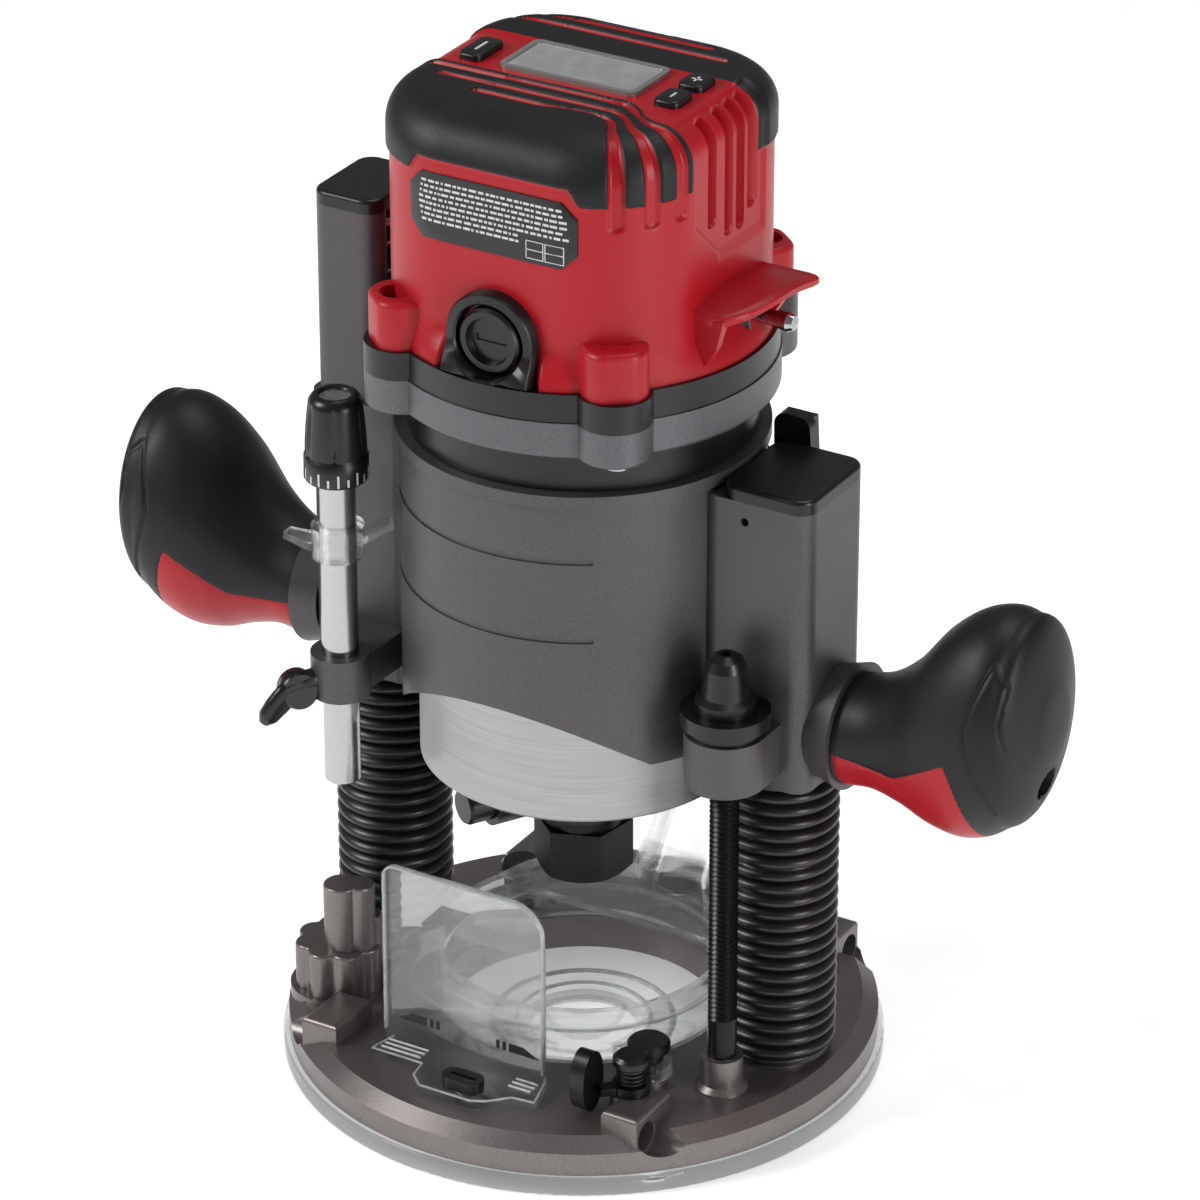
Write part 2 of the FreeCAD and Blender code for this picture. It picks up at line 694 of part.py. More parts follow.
def make_housing_cap(side):
    """Moulded cap that closes the top of a column housing."""
    if side > 0:
        low_x, high_x, half_y, top = housing_inner_x + 5.5, housing_outer_x, housing_half_y, right_top
    else:
        low_x, high_x, half_y, top = -tower_outer_x, -tower_inner_x, tower_half_y, left_top
    plate = rounded(low_x, high_x, -half_y, half_y, top, top + cap_thick, 5.0)
    plate = plate.makeFillet(1.2, [e for e in plate.Edges if e.BoundBox.ZMin > top + cap_thick - 1e-3])
    if side > 0:
        plate = plate.cut(disc(barrel_r + 1.2 + 0.3, top - 1, top + cap_thick + 1))
    inner_x = min(abs(low_x), abs(high_x))
    plug_r = min(bush_r, column_x - inner_x) - 0.2
    plug = disc(plug_r, top - cap_thick + 0.5, top + 0.5, side * column_x, 0)
    return joined([plate, plug])


def make_column_bushes():
    """Bronze bushes, two in each housing."""
    shapes = []
    for side in (1, -1):
        for low in (carriage_low + 1.5, carriage_low + 26.0):
            shapes.append(ring(bush_r, column_r + run_gap, low, low + bush_length, side * column_x, 0))
    return Part.makeCompound(shapes)


def grip_form(side):
    """Grip: round sections strung outwards along X, rising to a bulb above the axis."""
    sections = [(0.0, 1.0, 15.3, 15.3), (9.0, 3.0, 16.2, 15.8), (18.0, 5.6, 20.8, 18.0),
                (28.0, 10.0, 29.0, 21.5), (37.5, 13.2, 32.8, 23.4), (47.2, 16.2, 30.8, 22.8),
                (54.4, 18.0, 24.0, 18.3), (58.6, 18.2, 11.0, 9.0)]
    wires = []
    for along, rise, half_z, half_y in sections:
        centre = V(side * (grip_low_x + along), 0, handle_z + rise)
        ellipse = Part.Ellipse(centre + Z * half_z, centre + Y * half_y, centre) if half_z > half_y \
            else Part.Circle(centre, X, half_z)
        wires.append(Part.Wire([ellipse.toShape()]))
    return Part.makeLoft(wires, True, False)


def make_grip(side):
    """One grip and its second-colour insert under the neck."""
    low, high = sorted((side * (grip_low_x + 1.5), side * (grip_low_x + 27.0)))
    patch = slab(low, high, -11.0, 11.0, handle_z - 40, handle_z - 10.5)
    seat = grip_low_x + bolt_reach
    bores = [rod_along(bolt_r + screw_gap, V(side * (grip_low_x - 1), 0, handle_z), X * side, 60),
             rod_along(bolt_head_r + 0.7, V(side * seat, 0, handle_z), X * side, 40)]
    form = grip_form(side)
    return form.cut([patch] + bores), form.common(patch).cut(bores)


def save_grips():
    """Both grips and their inserts."""
    right_grip, right_insert = make_grip(1)
    left_grip, left_insert = make_grip(-1)
    save("right_grip", right_grip)
    save("left_grip", left_grip)
    save("right_grip_insert", right_insert)
    save("left_grip_insert", left_insert)


def make_handle_bolt(side):
    """Cap screw that ties a grip to the casting."""
    low = column_x + bush_r + 1.0
    seat = grip_low_x + bolt_reach
    profile = [(0, low), (bolt_r, low), (bolt_r, seat), (bolt_head_r, seat), (bolt_head_r, seat + 6.5),
               (2.6, seat + 6.5),
               (2.6, seat + 3.0), (0, seat + 3.0)]
    return spun_along(profile, V(0, 0, handle_z), X * side)


def make_plunge_lock():
    """Lever behind the right housing with the pinch spindle that grips the column."""
    y = housing_half_y + part_gap
    boss = rod_along(9.0, V(column_x, y, lever_z), Y, 5.0)
    arm = outline_xz([(column_x - 8.5, lever_z), (column_x + 6.0, lever_z), (column_x - 0.5, right_top - 6),
                      (column_x - 2.0, right_top + 11), (column_x - 12.5, right_top + 11),
                      (column_x - 12.3, right_top - 8)], y, y + 3.6)
    arm = arm.makeFillet(3.5, [e for e in arm.Edges if e.BoundBox.XLength < 1e-6 and e.BoundBox.ZLength < 1e-6
                               and e.BoundBox.ZMin > right_top])
    pad = outline_xz([(column_x - 12.4, right_top - 6), (column_x - 2.2, right_top - 6),
                      (column_x - 3.0, right_top + 9.5), (column_x - 12.0, right_top + 9.5)], y + 3, y + 7)
    spindle = rod_along(3.9, V(column_x, housing_half_y - 5.5, lever_z), Y, 8)
    return joined([boss, arm, pad, spindle])


def make_motor_clamp_bolt():
    """Bolt across the barrel's split ears."""
    y = barrel_r + 8.0
    shank = rod_along(2.5, V(-16, y, clamp_z), X, 28.2)
    head = Part.makeCylinder(4.6, 3.6, V(-12.2 - 3.6, y, clamp_z), X)
    return joined([shank, head])


def make_motor_clamp_lever():
    """Quick-release lever that closes the barrel on the motor."""
    y = barrel_r + 8.0
    hub = disc(6.5, clamp_z - 6, clamp_z + 6, 12.0 + part_gap + 6.5, y)
    arm = slab(12.0 + part_gap + 2, 12.0 + part_gap + 7, y, y + 9, clamp_z - 5, clamp_z + 5)
    handle = rounded(-34, 20, y + 6.5, y + 11.5, clamp_z - 6, clamp_z + 6, 2.4)
    return joined([hub, arm, handle])


def make_depth_rod():
    """Chromed depth rod with a chamfered lower end."""
    profile = [(0, rod_low), (rod_r - 0.8, rod_low), (rod_r, rod_low + 0.8), (rod_r, rod_high), (0, rod_high)]
    return spun(profile, rod_x, rod_y)


knob_low = rod_high - 24.0


def make_depth_knob():
    """Fine-adjust knob on the rod's top; it tapers towards its open socket."""
    bore = rod_r + run_gap
    profile = [(bore, knob_low + 6.2), (8.6, knob_low + 6.2), (8.4, knob_low + 14), (7.6, knob_low + 24.0),
               (7.0, knob_low + 24.8), (4.4, knob_low + 24.8), (4.0, rod_high + 0.1), (bore, rod_high + 0.1)]
    knob = spun(profile, rod_x, rod_y)
    grips = []
    flute_count = 12
    for index in range(flute_count):
        offset = at_angle(9.2, 360.0 / flute_count * index)
        grips.append(disc(1.1, knob_low + 8, knob_low + 22, rod_x + offset.x, rod_y + offset.y))
    dial = ring(8.8, rod_r + run_gap, knob_low, knob_low + 6.4, rod_x, rod_y)
    return joined([knob.cut(grips), dial])


def make_depth_cursor():
    """Clear clip on the rod with a pointer towards the housing's scale."""
    low = carriage_low + 47.0
    high = low + 9.0
    sleeve = disc(7.2, low, high, rod_x, rod_y)
    left_wing = outline([(rod_x - 15.5, rod_y - 3.0), (rod_x - 5, rod_y - 6.0), (rod_x - 5, rod_y + 2.0),
                         (rod_x - 15.5, rod_y + 0.5)], low + 2, low + 4.2)
    pointer = outline([(rod_x - 1.0, rod_y + 4), (rod_x + 7.0, rod_y), (rod_x + 9.0, rod_y + 13.5),
                       (rod_x + 6.8, rod_y + 15.5)], low + 4, low + 6.2)
    return joined([sleeve, left_wing, pointer]).cut(disc(rod_r + run_gap, low - 1, high + 1, rod_x, rod_y))


def make_depth_lock_screw():
    """Wing screw that holds the depth rod."""
    start, direction = lock_screw_axis()
    profile = [(0, 0), (2.4, 0), (2.4, 6.0), (4.6, 6.5), (4.6, 12.0), (3.2, 13.6), (0, 13.6)]
    stem = spun_along(profile, start, direction)
    side = direction.cross(Z)
    side.normalize()
    up = side.cross(direction)
    wings = []
    for sign in (1, -1):
        middle = start + direction * 13.0 + up * (sign * 6.0)
        wings.append(rod_along(4.6, middle - side * 1.8, side, 3.6))
    return joined([stem] + wings)


def make_height_stop_bush():
    """Flat-sided plastic bush on the stop lug that the nut lands on."""
    low = lug_high
    collar = ring(10.0, stop_rod_r + 0.5, low, low + 2.6, stop_x, stop_y)
    top = ring(12.0, stop_rod_r + 0.5, low + 2.6, stop_nut_seat, stop_x, stop_y)
    flat = slab(stop_x - 30, stop_x + 30, stop_y + 9.6, stop_y + 30, low - 1, low + 30)
    stem = ring(stop_rod_r + 1.1, stop_rod_r + 0.5, low - 6, low, stop_x, stop_y)
    return joined([collar, top, stem]).cut(flat)


# ---- motor assembly -------------------------------------------------------
def flange_plan(radius, low, high, grow=0.0):
    """Round plan with four screw lobes."""
    shapes = [disc(radius + grow, low, high)]
    for angle in (lobe_angle, 180 - lobe_angle, 180 + lobe_angle, -lobe_angle):
        place = at_angle(lobe_circle_r, angle)
        shapes.append(disc(lobe_r + grow, low, high, place.x, place.y))
    return joined(shapes)


def lobe_screw_places():
    """Axes of the four long screws, one in each lobe."""
    return [at_angle(lobe_circle_r + 4.2, angle)
            for angle in (lobe_angle, 180 - lobe_angle, 180 + lobe_angle, -lobe_angle)]


def screw_holes():
    """Clearance holes for the long screws, with seats for their heads."""
    shapes = []
    for place in lobe_screw_places():
        shapes.append(disc(lobe_screw_r, flange_low - 5, lobe_screw_top, place.x, place.y))
        shapes.append(disc(lobe_head_r + screw_gap, flange_low - 5, flange_low + 2.0, place.x, place.y))
    return shapes


def make_motor_can():
    """Turned aluminium can, closed below round the spindle nose."""
    top = flange_low
    profile = [(19.0, motor_low), (motor_r - 1.0, motor_low), (motor_r, motor_low + 1.0), (motor_r, top),
               (motor_r - can_wall, top), (motor_r - can_wall, motor_low + 4.0), (19.0, motor_low + 4.0)]
    return spun(profile)


def make_neck_ring():
    """Black spacer ring under the motor's flange."""
    return ring(motor_r + 2.4, motor_r, barrel_top + part_gap, flange_low)


def make_motor_flange():
    """Grey end bracket that carries the can and the upper housing."""
    body = flange_plan(flange_r, flange_low, band_low)
    body = body.makeFillet(1.2, [e for e in body.Edges if e.BoundBox.ZMax < flange_low + 1e-3])
    return body.cut([disc(motor_r - can_wall, flange_low - 1, band_low + 1)] + screw_holes())


def make_gasket_band():
    """Black band between the bracket and the upper housing."""
    band = flange_plan(flange_r - 0.4, band_low, housing_low)
    return band.cut([disc(motor_r - can_wall, band_low - 1, housing_low + 1)] + screw_holes())


def housing_form(shrink=0.0):
    """Outside of the upper housing: a soft square that stands on the round flange."""
    half = half_width - shrink
    corner = plan_corner - shrink
    top = housing_top - shrink
    square = rounded(-half, half, -half, half, housing_low, top, corner)
    square = square.makeFillet(7.0, [e for e in square.Edges if e.BoundBox.ZMin > top - 1e-3])
    skirt_top = housing_low + skirt_height - shrink
    skirt = disc(flange_r - 1.2 - shrink, housing_low, skirt_top)
    skirt = skirt.makeFillet(3.0, [e for e in skirt.Edges if e.BoundBox.ZMin > skirt_top - 0.1])
    shapes = [square, skirt]
    if shrink == 0.0:
        for angle in (lobe_angle, 180 - lobe_angle, 180 + lobe_angle, -lobe_angle):
            place = at_angle(lobe_circle_r - 1.0, angle)
            lobe = disc(lobe_r - 1.0, housing_low, housing_low + lobe_rise, place.x, place.y)
            shapes.append(lobe.makeFillet(1.5, [e for e in lobe.Edges
                                                if e.BoundBox.ZMin > housing_low + lobe_rise - 1e-3]))
    return joined(shapes)


def guard_form():
    """Arched guard over the toggle switch, open below and at its end."""
    top_z = housing_low + 20.0
    outer = slab(half_width - 6, half_width + 16.0, -19.0, 19.0, housing_low + 2.0, top_z)
    outer = eased(outer, 4.0, lambda e: e.BoundBox.YLength < 1e-6 and e.BoundBox.ZLength < 1e-6
                  and e.BoundBox.ZMin > top_z - 1e-3)
    under = slab(half_width + boot_stand, half_width + 30, -16.2, 16.2, housing_low, top_z - 3.0)
    slope = outline_xz([(half_width + 5.0, housing_low), (half_width + 20, housing_low),
                        (half_width + 20, housing_low + 18.0)], -40, 30)
    return outer.cut([under, slope])


def rubber_regions():
    """Where the soft overmould lies: a front band and a rear band over the top edges."""
    tall = housing_top + 5
    big = 70.0
    shapes = []
    for side, edge in ((-1, front_rubber_edge), (1, rear_rubber_edge)):
        low_y, high_y = sorted((edge, side * big))
        shapes.append(joined([slab(-big, big, low_y, high_y, rubber_low, tall),
                              slab(-big, -rubber_drop_x, low_y, high_y, rubber_side_low, tall),
                              slab(rubber_drop_x, big, low_y, high_y, rubber_side_low, tall)]))
    front, rear = shapes
    return front, rear


display_x, display_y = -1.5, 3.8
display_half_x, display_half_y = 20.6, 10.2
display_border = 1.6
select_x, plus_x = -30.8, 28.8
panel_z = housing_top
brush_z = housing_low + 10.0
inlet_x, inlet_z = -20.0, housing_low + 36.0
switch_y, switch_z = 8.0, housing_low + 7.0
vent_count = 5
vent_pitch = 6.0
vent_first_y = -14.0
vent_half = 1.1
vent_low = housing_low + 36.0
vent_high = housing_low + 58.0


def button_places():
    """Select on the left; plus and minus on the right."""
    return {"select_button": (select_x, 0.4, 3.4, 6.8), "plus_button": (plus_x, 9.0, 3.7, 4.6),
            "minus_button": (plus_x, -3.2, 3.7, 4.8)}


def make_upper_parts():
    """Upper housing, its two overmoulds, and everything set into its top."""
    form = housing_form()
    core = housing_form(skin)
    front_region, rear_region = rubber_regions()
    front = form.common(front_region).cut(core)
    rear = form.common(rear_region).cut(core)
    cavity = housing_form(shell_wall)
    shell = joined([form, guard_form()]).cut([front, rear, cavity])
    tools = []
    panel = rounded(display_x - display_half_x, display_x + display_half_x, display_y - display_half_y,
                    display_y + display_half_y, panel_z - 1.6, panel_z + 2, 2.5)
    tools.append(panel)
    for x, y, half_x, half_y in button_places().values():
        gap = 0.25
        tools.append(rounded(x - half_x - gap, x + half_x + gap, y - half_y - gap, y + half_y + gap,
                             panel_z - 8, panel_z + 2, 2.6))
    for side in (1, -1):
        start = V(0, side * (half_width - 12), brush_z)
        tools.append(rod_along(9.5, start, Y * side, 30))
    tools.append(rod_along(6.2, V(half_width - 12, switch_y, switch_z), X, 20))
    tools.append(rod_along(boot_r + 0.1, V(half_width + boot_stand, switch_y, switch_z), X, 20))
    tools.append(rod_along(8.0, V(inlet_x, half_width - 12, inlet_z), Y, 20))
    tools += screw_holes()
    for index in range(vent_count):
        y = vent_first_y + vent_pitch * index
        tools.append(slab(half_width - 8, half_width + 5, y - vent_half, y + vent_half, vent_low, vent_high))
    shell = shell.cut(tools)
    save("upper_housing", shell)
    save("front_overmould", front.cut(tools))
    save("rear_overmould", rear.cut(tools))
    save_top_controls(panel)


def save_top_controls(panel):
    """Display frame, its window, and three buttons on the top panel."""
    frame_top = panel_z + 0.6
    bezel = rounded(display_x - display_half_x + 0.1, display_x + display_half_x - 0.1,
                    display_y - display_half_y + 0.1, display_y + display_half_y - 0.1,
                    panel_z - 1.6, frame_top, 2.4)
    half_x = display_half_x - display_border
    half_y = display_half_y - display_border
    window_box = rounded(display_x - half_x, display_x + half_x, display_y - half_y, display_y + half_y,
                         panel_z - 0.6, frame_top + 1, 1.2)
    save("display_bezel", bezel.cut(window_box))
    half_x -= 0.1
    half_y -= 0.1
    window = rounded(display_x - half_x, display_x + half_x, display_y - half_y, display_y + half_y,
                     panel_z - 0.6, panel_z + 0.3, 1.1)
    save("display_window", window)
    for name, (x, y, half_x, half_y) in button_places().items():
        cap = rounded(x - half_x, x + half_x, y - half_y, y + half_y, panel_z - 4.0, panel_z + 1.6, 2.4)
        cap = cap.makeFillet(0.6, [e for e in cap.Edges if e.BoundBox.ZMin > panel_z + 1.5])
        save(name, cap)


def make_brush_caps():
    """Screwed caps over the brushes, front and rear."""
    shapes = []
    for side in (1, -1):
        profile = [(0, 0), (9.0, 0), (9.0, 8.0), (8.2, 9.0), (6.6, 9.0), (6.0, 7.0), (0, 7.0)]
        cap = spun_along(profile, V(0, side * (half_width - 5.5), brush_z), Y * side)
        slot = slab(-4.5, 4.5, -1.0, 1.0, -1.0, 1.0)
        slot.translate(V(0, side * (half_width + 2.0), brush_z))
        shapes.append(cap.cut(slot))
    return Part.makeCompound(shapes)


commutator_r = 14.0
armature_r = 22.0


def brush_holders():
    """Brush tubes moulded on the bearing bridge."""
    shapes = []
    for side in (1, -1):
        low, high = sorted((side * (commutator_r + 1.2), side * (half_width - 6.0)))
        box = slab(-5.0, 5.0, low, high, brush_z - 7.0, brush_z + 7.0)
        hole = slab(-3.6, 3.6, low - 1, high + 1, brush_z - 5.2, brush_z + 5.2)
        shapes.append(box.cut(hole))
    return shapes


def make_carbon_brushes():
    """Carbon brushes that bear on the commutator."""
    shapes = []
    for side in (1, -1):
        low, high = sorted((side * (commutator_r + 0.3), side * (commutator_r + 16.0)))
        shapes.append(slab(-3.5, 3.5, low, high, brush_z - 5.1, brush_z + 5.1))
    return Part.makeCompound(shapes)


spindle_r = 8.0
stator_low, stator_high = motor_low + 34.0, motor_low + 90.0
coil_overhang = 7.0
lower_bearing_z = motor_low + 4.5
upper_bearing_z = housing_low + 30.0


def make_stator():
    """Laminated field core with its two windings, fixed in the can."""
    core = ring(motor_r - can_wall, armature_r + 0.8, stator_low, stator_high)
    flats = [slab(-60, 60, 36.0, 60, stator_low - 1, stator_high + 1),
             slab(-60, 60, -60, -36.0, stator_low - 1, stator_high + 1)]
    core = core.cut(flats)
    coils = []
    for side in (1, -1):
        coil = ring(36.0, armature_r + 3.0, stator_low - coil_overhang, stator_high + coil_overhang)
        low, high = sorted((side * 6.0, side * 50.0))
        coils.append(coil.common(slab(low, high, -20, 20, stator_low - 20, stator_high + 20)))
    return joined([core] + coils)


def make_armature():
    """Wound rotor with commutator on the spindle, which ends in the collet socket."""
    top = upper_bearing_z + 9.0
    collet_seat_r = collet_r + run_gap
    seat_z = lower_bearing_z + 10.2
    profile = [(0, collet_top + 0.5), (collet_seat_r, collet_top + 0.5), (collet_seat_r, nose_low),
               (nose_r, nose_low), (nose_r, nut_high + 4.5), (spindle_r, nut_high + 5.5),
               (spindle_r, seat_z), (10.0, seat_z),
               (10.0, lower_bearing_z + 12), (9.0, lower_bearing_z + 12), (9.0, stator_low - 4),
               (17.0, stator_low - 4), (armature_r, stator_low), (armature_r, stator_high),
               (17.0, stator_high + 5), (8.0, stator_high + 6), (8.0, brush_z - 12),
               (commutator_r, brush_z - 11), (commutator_r, brush_z + 11), (7.0, brush_z + 12),
               (7.0, upper_bearing_z - 0.5), (5.0, upper_bearing_z - 0.5), (5.0, top), (0, top)]
    return spun(profile)


def make_fan():
    """Cooling fan under the windings."""
    low = lower_bearing_z + 12.4
    hub = ring(15.0, 9.0, low, low + 9)
    plate = ring(motor_r - can_wall - 2.0, 9.0, low, low + 1.6)
    shapes = [hub, plate]
    blade_count = 14
    for index in range(blade_count):
        blade = slab(13.0, motor_r - can_wall - 2.6, -0.7, 0.7, low + 0.5, low + 9)
        shapes.append(turned(blade, 360.0 / blade_count * index))
    return joined(shapes)


def bearing(outer, bore, low, high):
    """Ball bearing as one ring with grooved shields."""
    middle_out = outer - 1.8
    middle_in = bore + 1.8
    return spun([(bore, low), (middle_in, low), (middle_in, low + 0.5), (middle_out, low + 0.5),
                 (middle_out, low), (outer, low), (outer, high), (middle_out, high), (middle_out, high - 0.5),
                 (middle_in, high - 0.5), (middle_in, high), (bore, high)])


nut_low = motor_low - 37.0
nut_high = motor_low - 22.0
nut_flats = 24.0
collet_bore_r = 6.35
collet_r = 8.6
collet_low = nut_low - 1.5
collet_top = nut_high + 1.5
nose_r = 10.2
nose_low = nut_low + 3.0


def make_collet_nut():
    """Hexagonal collet nut with a round collar above it."""
    radius = nut_flats / math.sqrt(3.0)
    corners = [at_angle(radius, 60 * index + 20) for index in range(6)]
    body = outline([(corner.x, corner.y) for corner in corners], nut_low, nut_high)
    cone = spun([(0, nut_low), (nut_flats / 2, nut_low), (nut_flats / 2 + 2.4, nut_low + 1.4),
                 (nut_flats / 2 + 2.4, nut_high), (0, nut_high)])
    body = body.common(cone)
    collar = disc(nose_r + 1.4, nut_high - 0.5, nut_high + 3.0)
    nut = joined([body, collar])
    bore = disc(collet_r + 0.1, nut_low - 1, nose_low + 1)
    thread = disc(nose_r, nose_low, nut_high + 4)
    return nut.cut([bore, thread])


def make_collet():
    """Slotted collet that grips a half-inch shank."""
    body = ring(collet_r, collet_bore_r, collet_low, collet_top)
    slots = []
    for index in range(4):
        slots.append(turned(slab(0, 20, -0.4, 0.4, collet_low - 1, collet_top - 3), 90.0 * index + 45.0))
    return body.cut(slots)


lock_angle = 240.0
lock_z = motor_low - 9.5


def make_spindle_nose():
    """Black nose under the can with the radial housing of the spindle lock."""
    hub = disc(18.8, motor_low - 4.0, motor_low + 4.2)
    block = disc(16.0, lock_z - 7.0, motor_low - 3.0)
    tube = rod_along(7.0, V(0, 0, lock_z), at_angle(1, lock_angle), 30.0)
    strap = slab(0, 33, -5.0, 5.0, lock_z + 2, motor_low - 0.2)
    nose = joined([hub, block, tube, turned(strap, lock_angle)])
    pocket = rod_along(5.3, V(0, 0, lock_z), at_angle(1, lock_angle), 40.0)
    return nose.cut([pocket, disc(spindle_r + 3.6, lock_z - 20, motor_low + 5)])


def make_spindle_lock_button():
    """Spring-loaded button that pushes its pin into the spindle."""
    profile = [(0, spindle_r + 4.0), (3.0, spindle_r + 4.0), (3.0, 20.0), (5.2, 20.0), (5.2, 36.5),
               (4.6, 37.5), (0, 37.5)]
    return spun_along(profile, V(0, 0, lock_z), at_angle(1, lock_angle))


def make_switch_body():
    """Toggle switch inside the shell with its threaded neck."""
    x = half_width - shell_wall - 1.0
    body = slab(x - 15, x - 0.5, switch_y - 7, switch_y + 7, switch_z - 6.5, switch_z + 8)
    neck = rod_along(5.8, V(x - 1, switch_y, switch_z), X, 5.0)
    socket = rod_along(3.6, V(x - 4, switch_y, switch_z), X, 12)
    return joined([body, neck]).cut(socket)


def make_switch_boot():
    """Rubber boot ring round the toggle."""
    x = half_width + boot_stand
    profile = [(4.4, 0), (boot_r, 0), (boot_r, 1.4), (5.2, 3.4), (4.4, 3.4)]
    return spun_along(profile, V(x, switch_y, switch_z), X)


toggle_pivot_x = half_width - 4.5
toggle_pin_r = 1.0
toggle_pin_half = 3.2


def make_toggle_lever():
    """Chromed bat of the toggle switch with the cross pin it turns on."""
    profile = [(0, -2.4), (2.0, -2.0), (2.4, 0), (1.7, 3), (1.6, 8), (2.3, 14), (2.8, 17.5),
               (2.0, 19.2), (0, 19.6)]
    lever = spun_along(profile, V(toggle_pivot_x, switch_y, switch_z), X)
    pin = rod_along(toggle_pin_r, V(toggle_pivot_x, switch_y, switch_z - toggle_pin_half), Z,
                    2 * toggle_pin_half)
    return joined([lever, pin])


def make_cord_inlet():
    """Empty gland for the supply cord at the rear."""
    profile = [(4.6, 0), (7.8, 0), (7.8, 7), (10.0, 7.2), (10.0, 10.0), (8.0, 11.5), (6.4, 16.0), (4.6, 16.0)]
    return spun_along(profile, V(inlet_x, half_width - 6.0, inlet_z), Y)


def make_control_board():
    """Speed control board below the display."""
    top = housing_top - shell_wall - 6.5
    board = rounded(-33, 33, -28, 28, top - 1.6, top, 4.0)
    parts = [slab(-20, -6, 8, 22, top - 9, top - 1.5), slab(4, 24, -24, -10, top - 7, top - 1.5),
             disc(5.0, top - 14, top - 1.5, 20, 14)]
    return joined([board] + parts)


def make_housing_screws():
    """Four long screws up through the bracket's lobes into the shell."""
    seat = flange_low + 2.0
    shapes = []
    for place in lobe_screw_places():
        shapes.append(spun([(0, flange_low - 1.2), (lobe_head_r, flange_low - 1.2), (lobe_head_r, seat),
                            (lobe_screw_r, seat), (lobe_screw_r, lobe_screw_top), (0, lobe_screw_top)],
                           place.x, place.y))
    return Part.makeCompound(shapes)


def make_bearing_bridge():
    """Cross bridge that holds the upper bearing and the brush holders."""
    low = upper_bearing_z - 2.0
    bar = rounded(-38.0, 38.0, -12.0, 12.0, low, low + 11.5, 5.0)
    posts = []
    for side in (1, -1):
        posts.append(disc(4.0, housing_low, low + 1, side * 33.0, -7.0))
    struts = [slab(-4.0, 4.0, side * 20.0 - 3.0, side * 20.0 + 3.0, brush_z + 6.0, low + 1)
              for side in (1, -1)]
    bar = joined([bar, rounded(-10.0, 10.0, -24.0, 24.0, low, low + 6.0, 3.0)])
    bridge = joined([bar] + posts + struts + brush_holders())
    return bridge.cut([disc(11.0, upper_bearing_z, low + 12), disc(8.0, low - 1, low + 12)])


def make_base_screws():
    """Sub-base screws and the turret's pivot screw."""
    screws = [base_screw_solid(place) for place in base_screw_places()]
    return Part.makeCompound(screws + [make_turret_screw()])


def make_carriage_bolts():
    """Through bolts of the grips and the barrel's clamp bolt."""
    return Part.makeCompound([make_handle_bolt(1), make_handle_bolt(-1), make_motor_clamp_bolt()])


def pair(make, right_value, left_value):
    """The right-hand and left-hand piece as one node."""
    return Part.makeCompound([make(1, right_value), make(-1, left_value)])


def save_base():
    """Nodes that stand on the work."""
    column_drop = plunge_stroke + 8.0
    save("sub_base", make_sub_base())
    save("base_screws", make_base_screws())
    save("base_casting", make_base_casting())
    save("columns", pair(make_column, right_top - column_drop, left_top - column_drop))
    save("bellows", pair(make_bellows, right_folds, left_folds))
    save("plunge_springs", pair(make_spring, right_top - cap_thick, left_top - cap_thick))
    save("stop_turret", make_stop_turret())
    save("chip_shield", make_chip_shield())
    save("shield_latch", make_shield_latch())
    save("dust_hood", make_dust_hood())
    save("front_hood_screw", make_hood_screw(1))
    save("rear_hood_screw", make_hood_screw(-1))
    save("front_rod_clamp", Part.makeCompound([make_rod_clamp(-1), make_clamp_spring(-1)]))
    save("rear_rod_clamp", Part.makeCompound([make_rod_clamp(1), make_clamp_spring(1)]))
    save("height_stop_rod", make_height_stop_rod())
    save("height_stop_nut", make_height_stop_nut())


def save_carriage():
    """Nodes that slide on the columns."""
    save("plunge_casting", make_plunge_casting())
    save("housing_caps", Part.makeCompound([make_housing_cap(1), make_housing_cap(-1)]))
    save("column_bushes", make_column_bushes())
    save_grips()
    save("carriage_bolts", make_carriage_bolts())
    save("plunge_lock_lever", make_plunge_lock())
    save("motor_clamp_lever", make_motor_clamp_lever())
    save("depth_rod", make_depth_rod())
    save("depth_knob", make_depth_knob())
    save("depth_cursor", make_depth_cursor())
    save("depth_lock_screw", make_depth_lock_screw())
    save("height_stop_bush", make_height_stop_bush())


def save_motor():
    """Nodes of the motor unit."""
    save("motor_can", make_motor_can())
    save("neck_ring", make_neck_ring())
    save("motor_flange", make_motor_flange())
    save("gasket_band", make_gasket_band())
    make_upper_parts()
    save("brush_caps", make_brush_caps())
    save("carbon_brushes", make_carbon_brushes())
    save("stator", make_stator())
    save("armature", make_armature())
    save("cooling_fan", make_fan())
    bearings = [bearing(18.8, spindle_r, lower_bearing_z, lower_bearing_z + 10),
                bearing(11.0, 5.0, upper_bearing_z, upper_bearing_z + 8)]
    save("bearings", Part.makeCompound(bearings))
    save("bearing_bridge", make_bearing_bridge())
    save("collet_nut", make_collet_nut())
    save("collet", make_collet())
    save("spindle_nose", make_spindle_nose())
    save("spindle_lock_button", make_spindle_lock_button())
    save("switch_body", make_switch_body())
    save("switch_boot", make_switch_boot())
    save("toggle_lever", make_toggle_lever())
    save("cord_inlet", make_cord_inlet())
    save("control_board", make_control_board())
    save("housing_screws", make_housing_screws())


os.makedirs("parts", exist_ok=True)
save_base()
save_carriage()
save_motor()
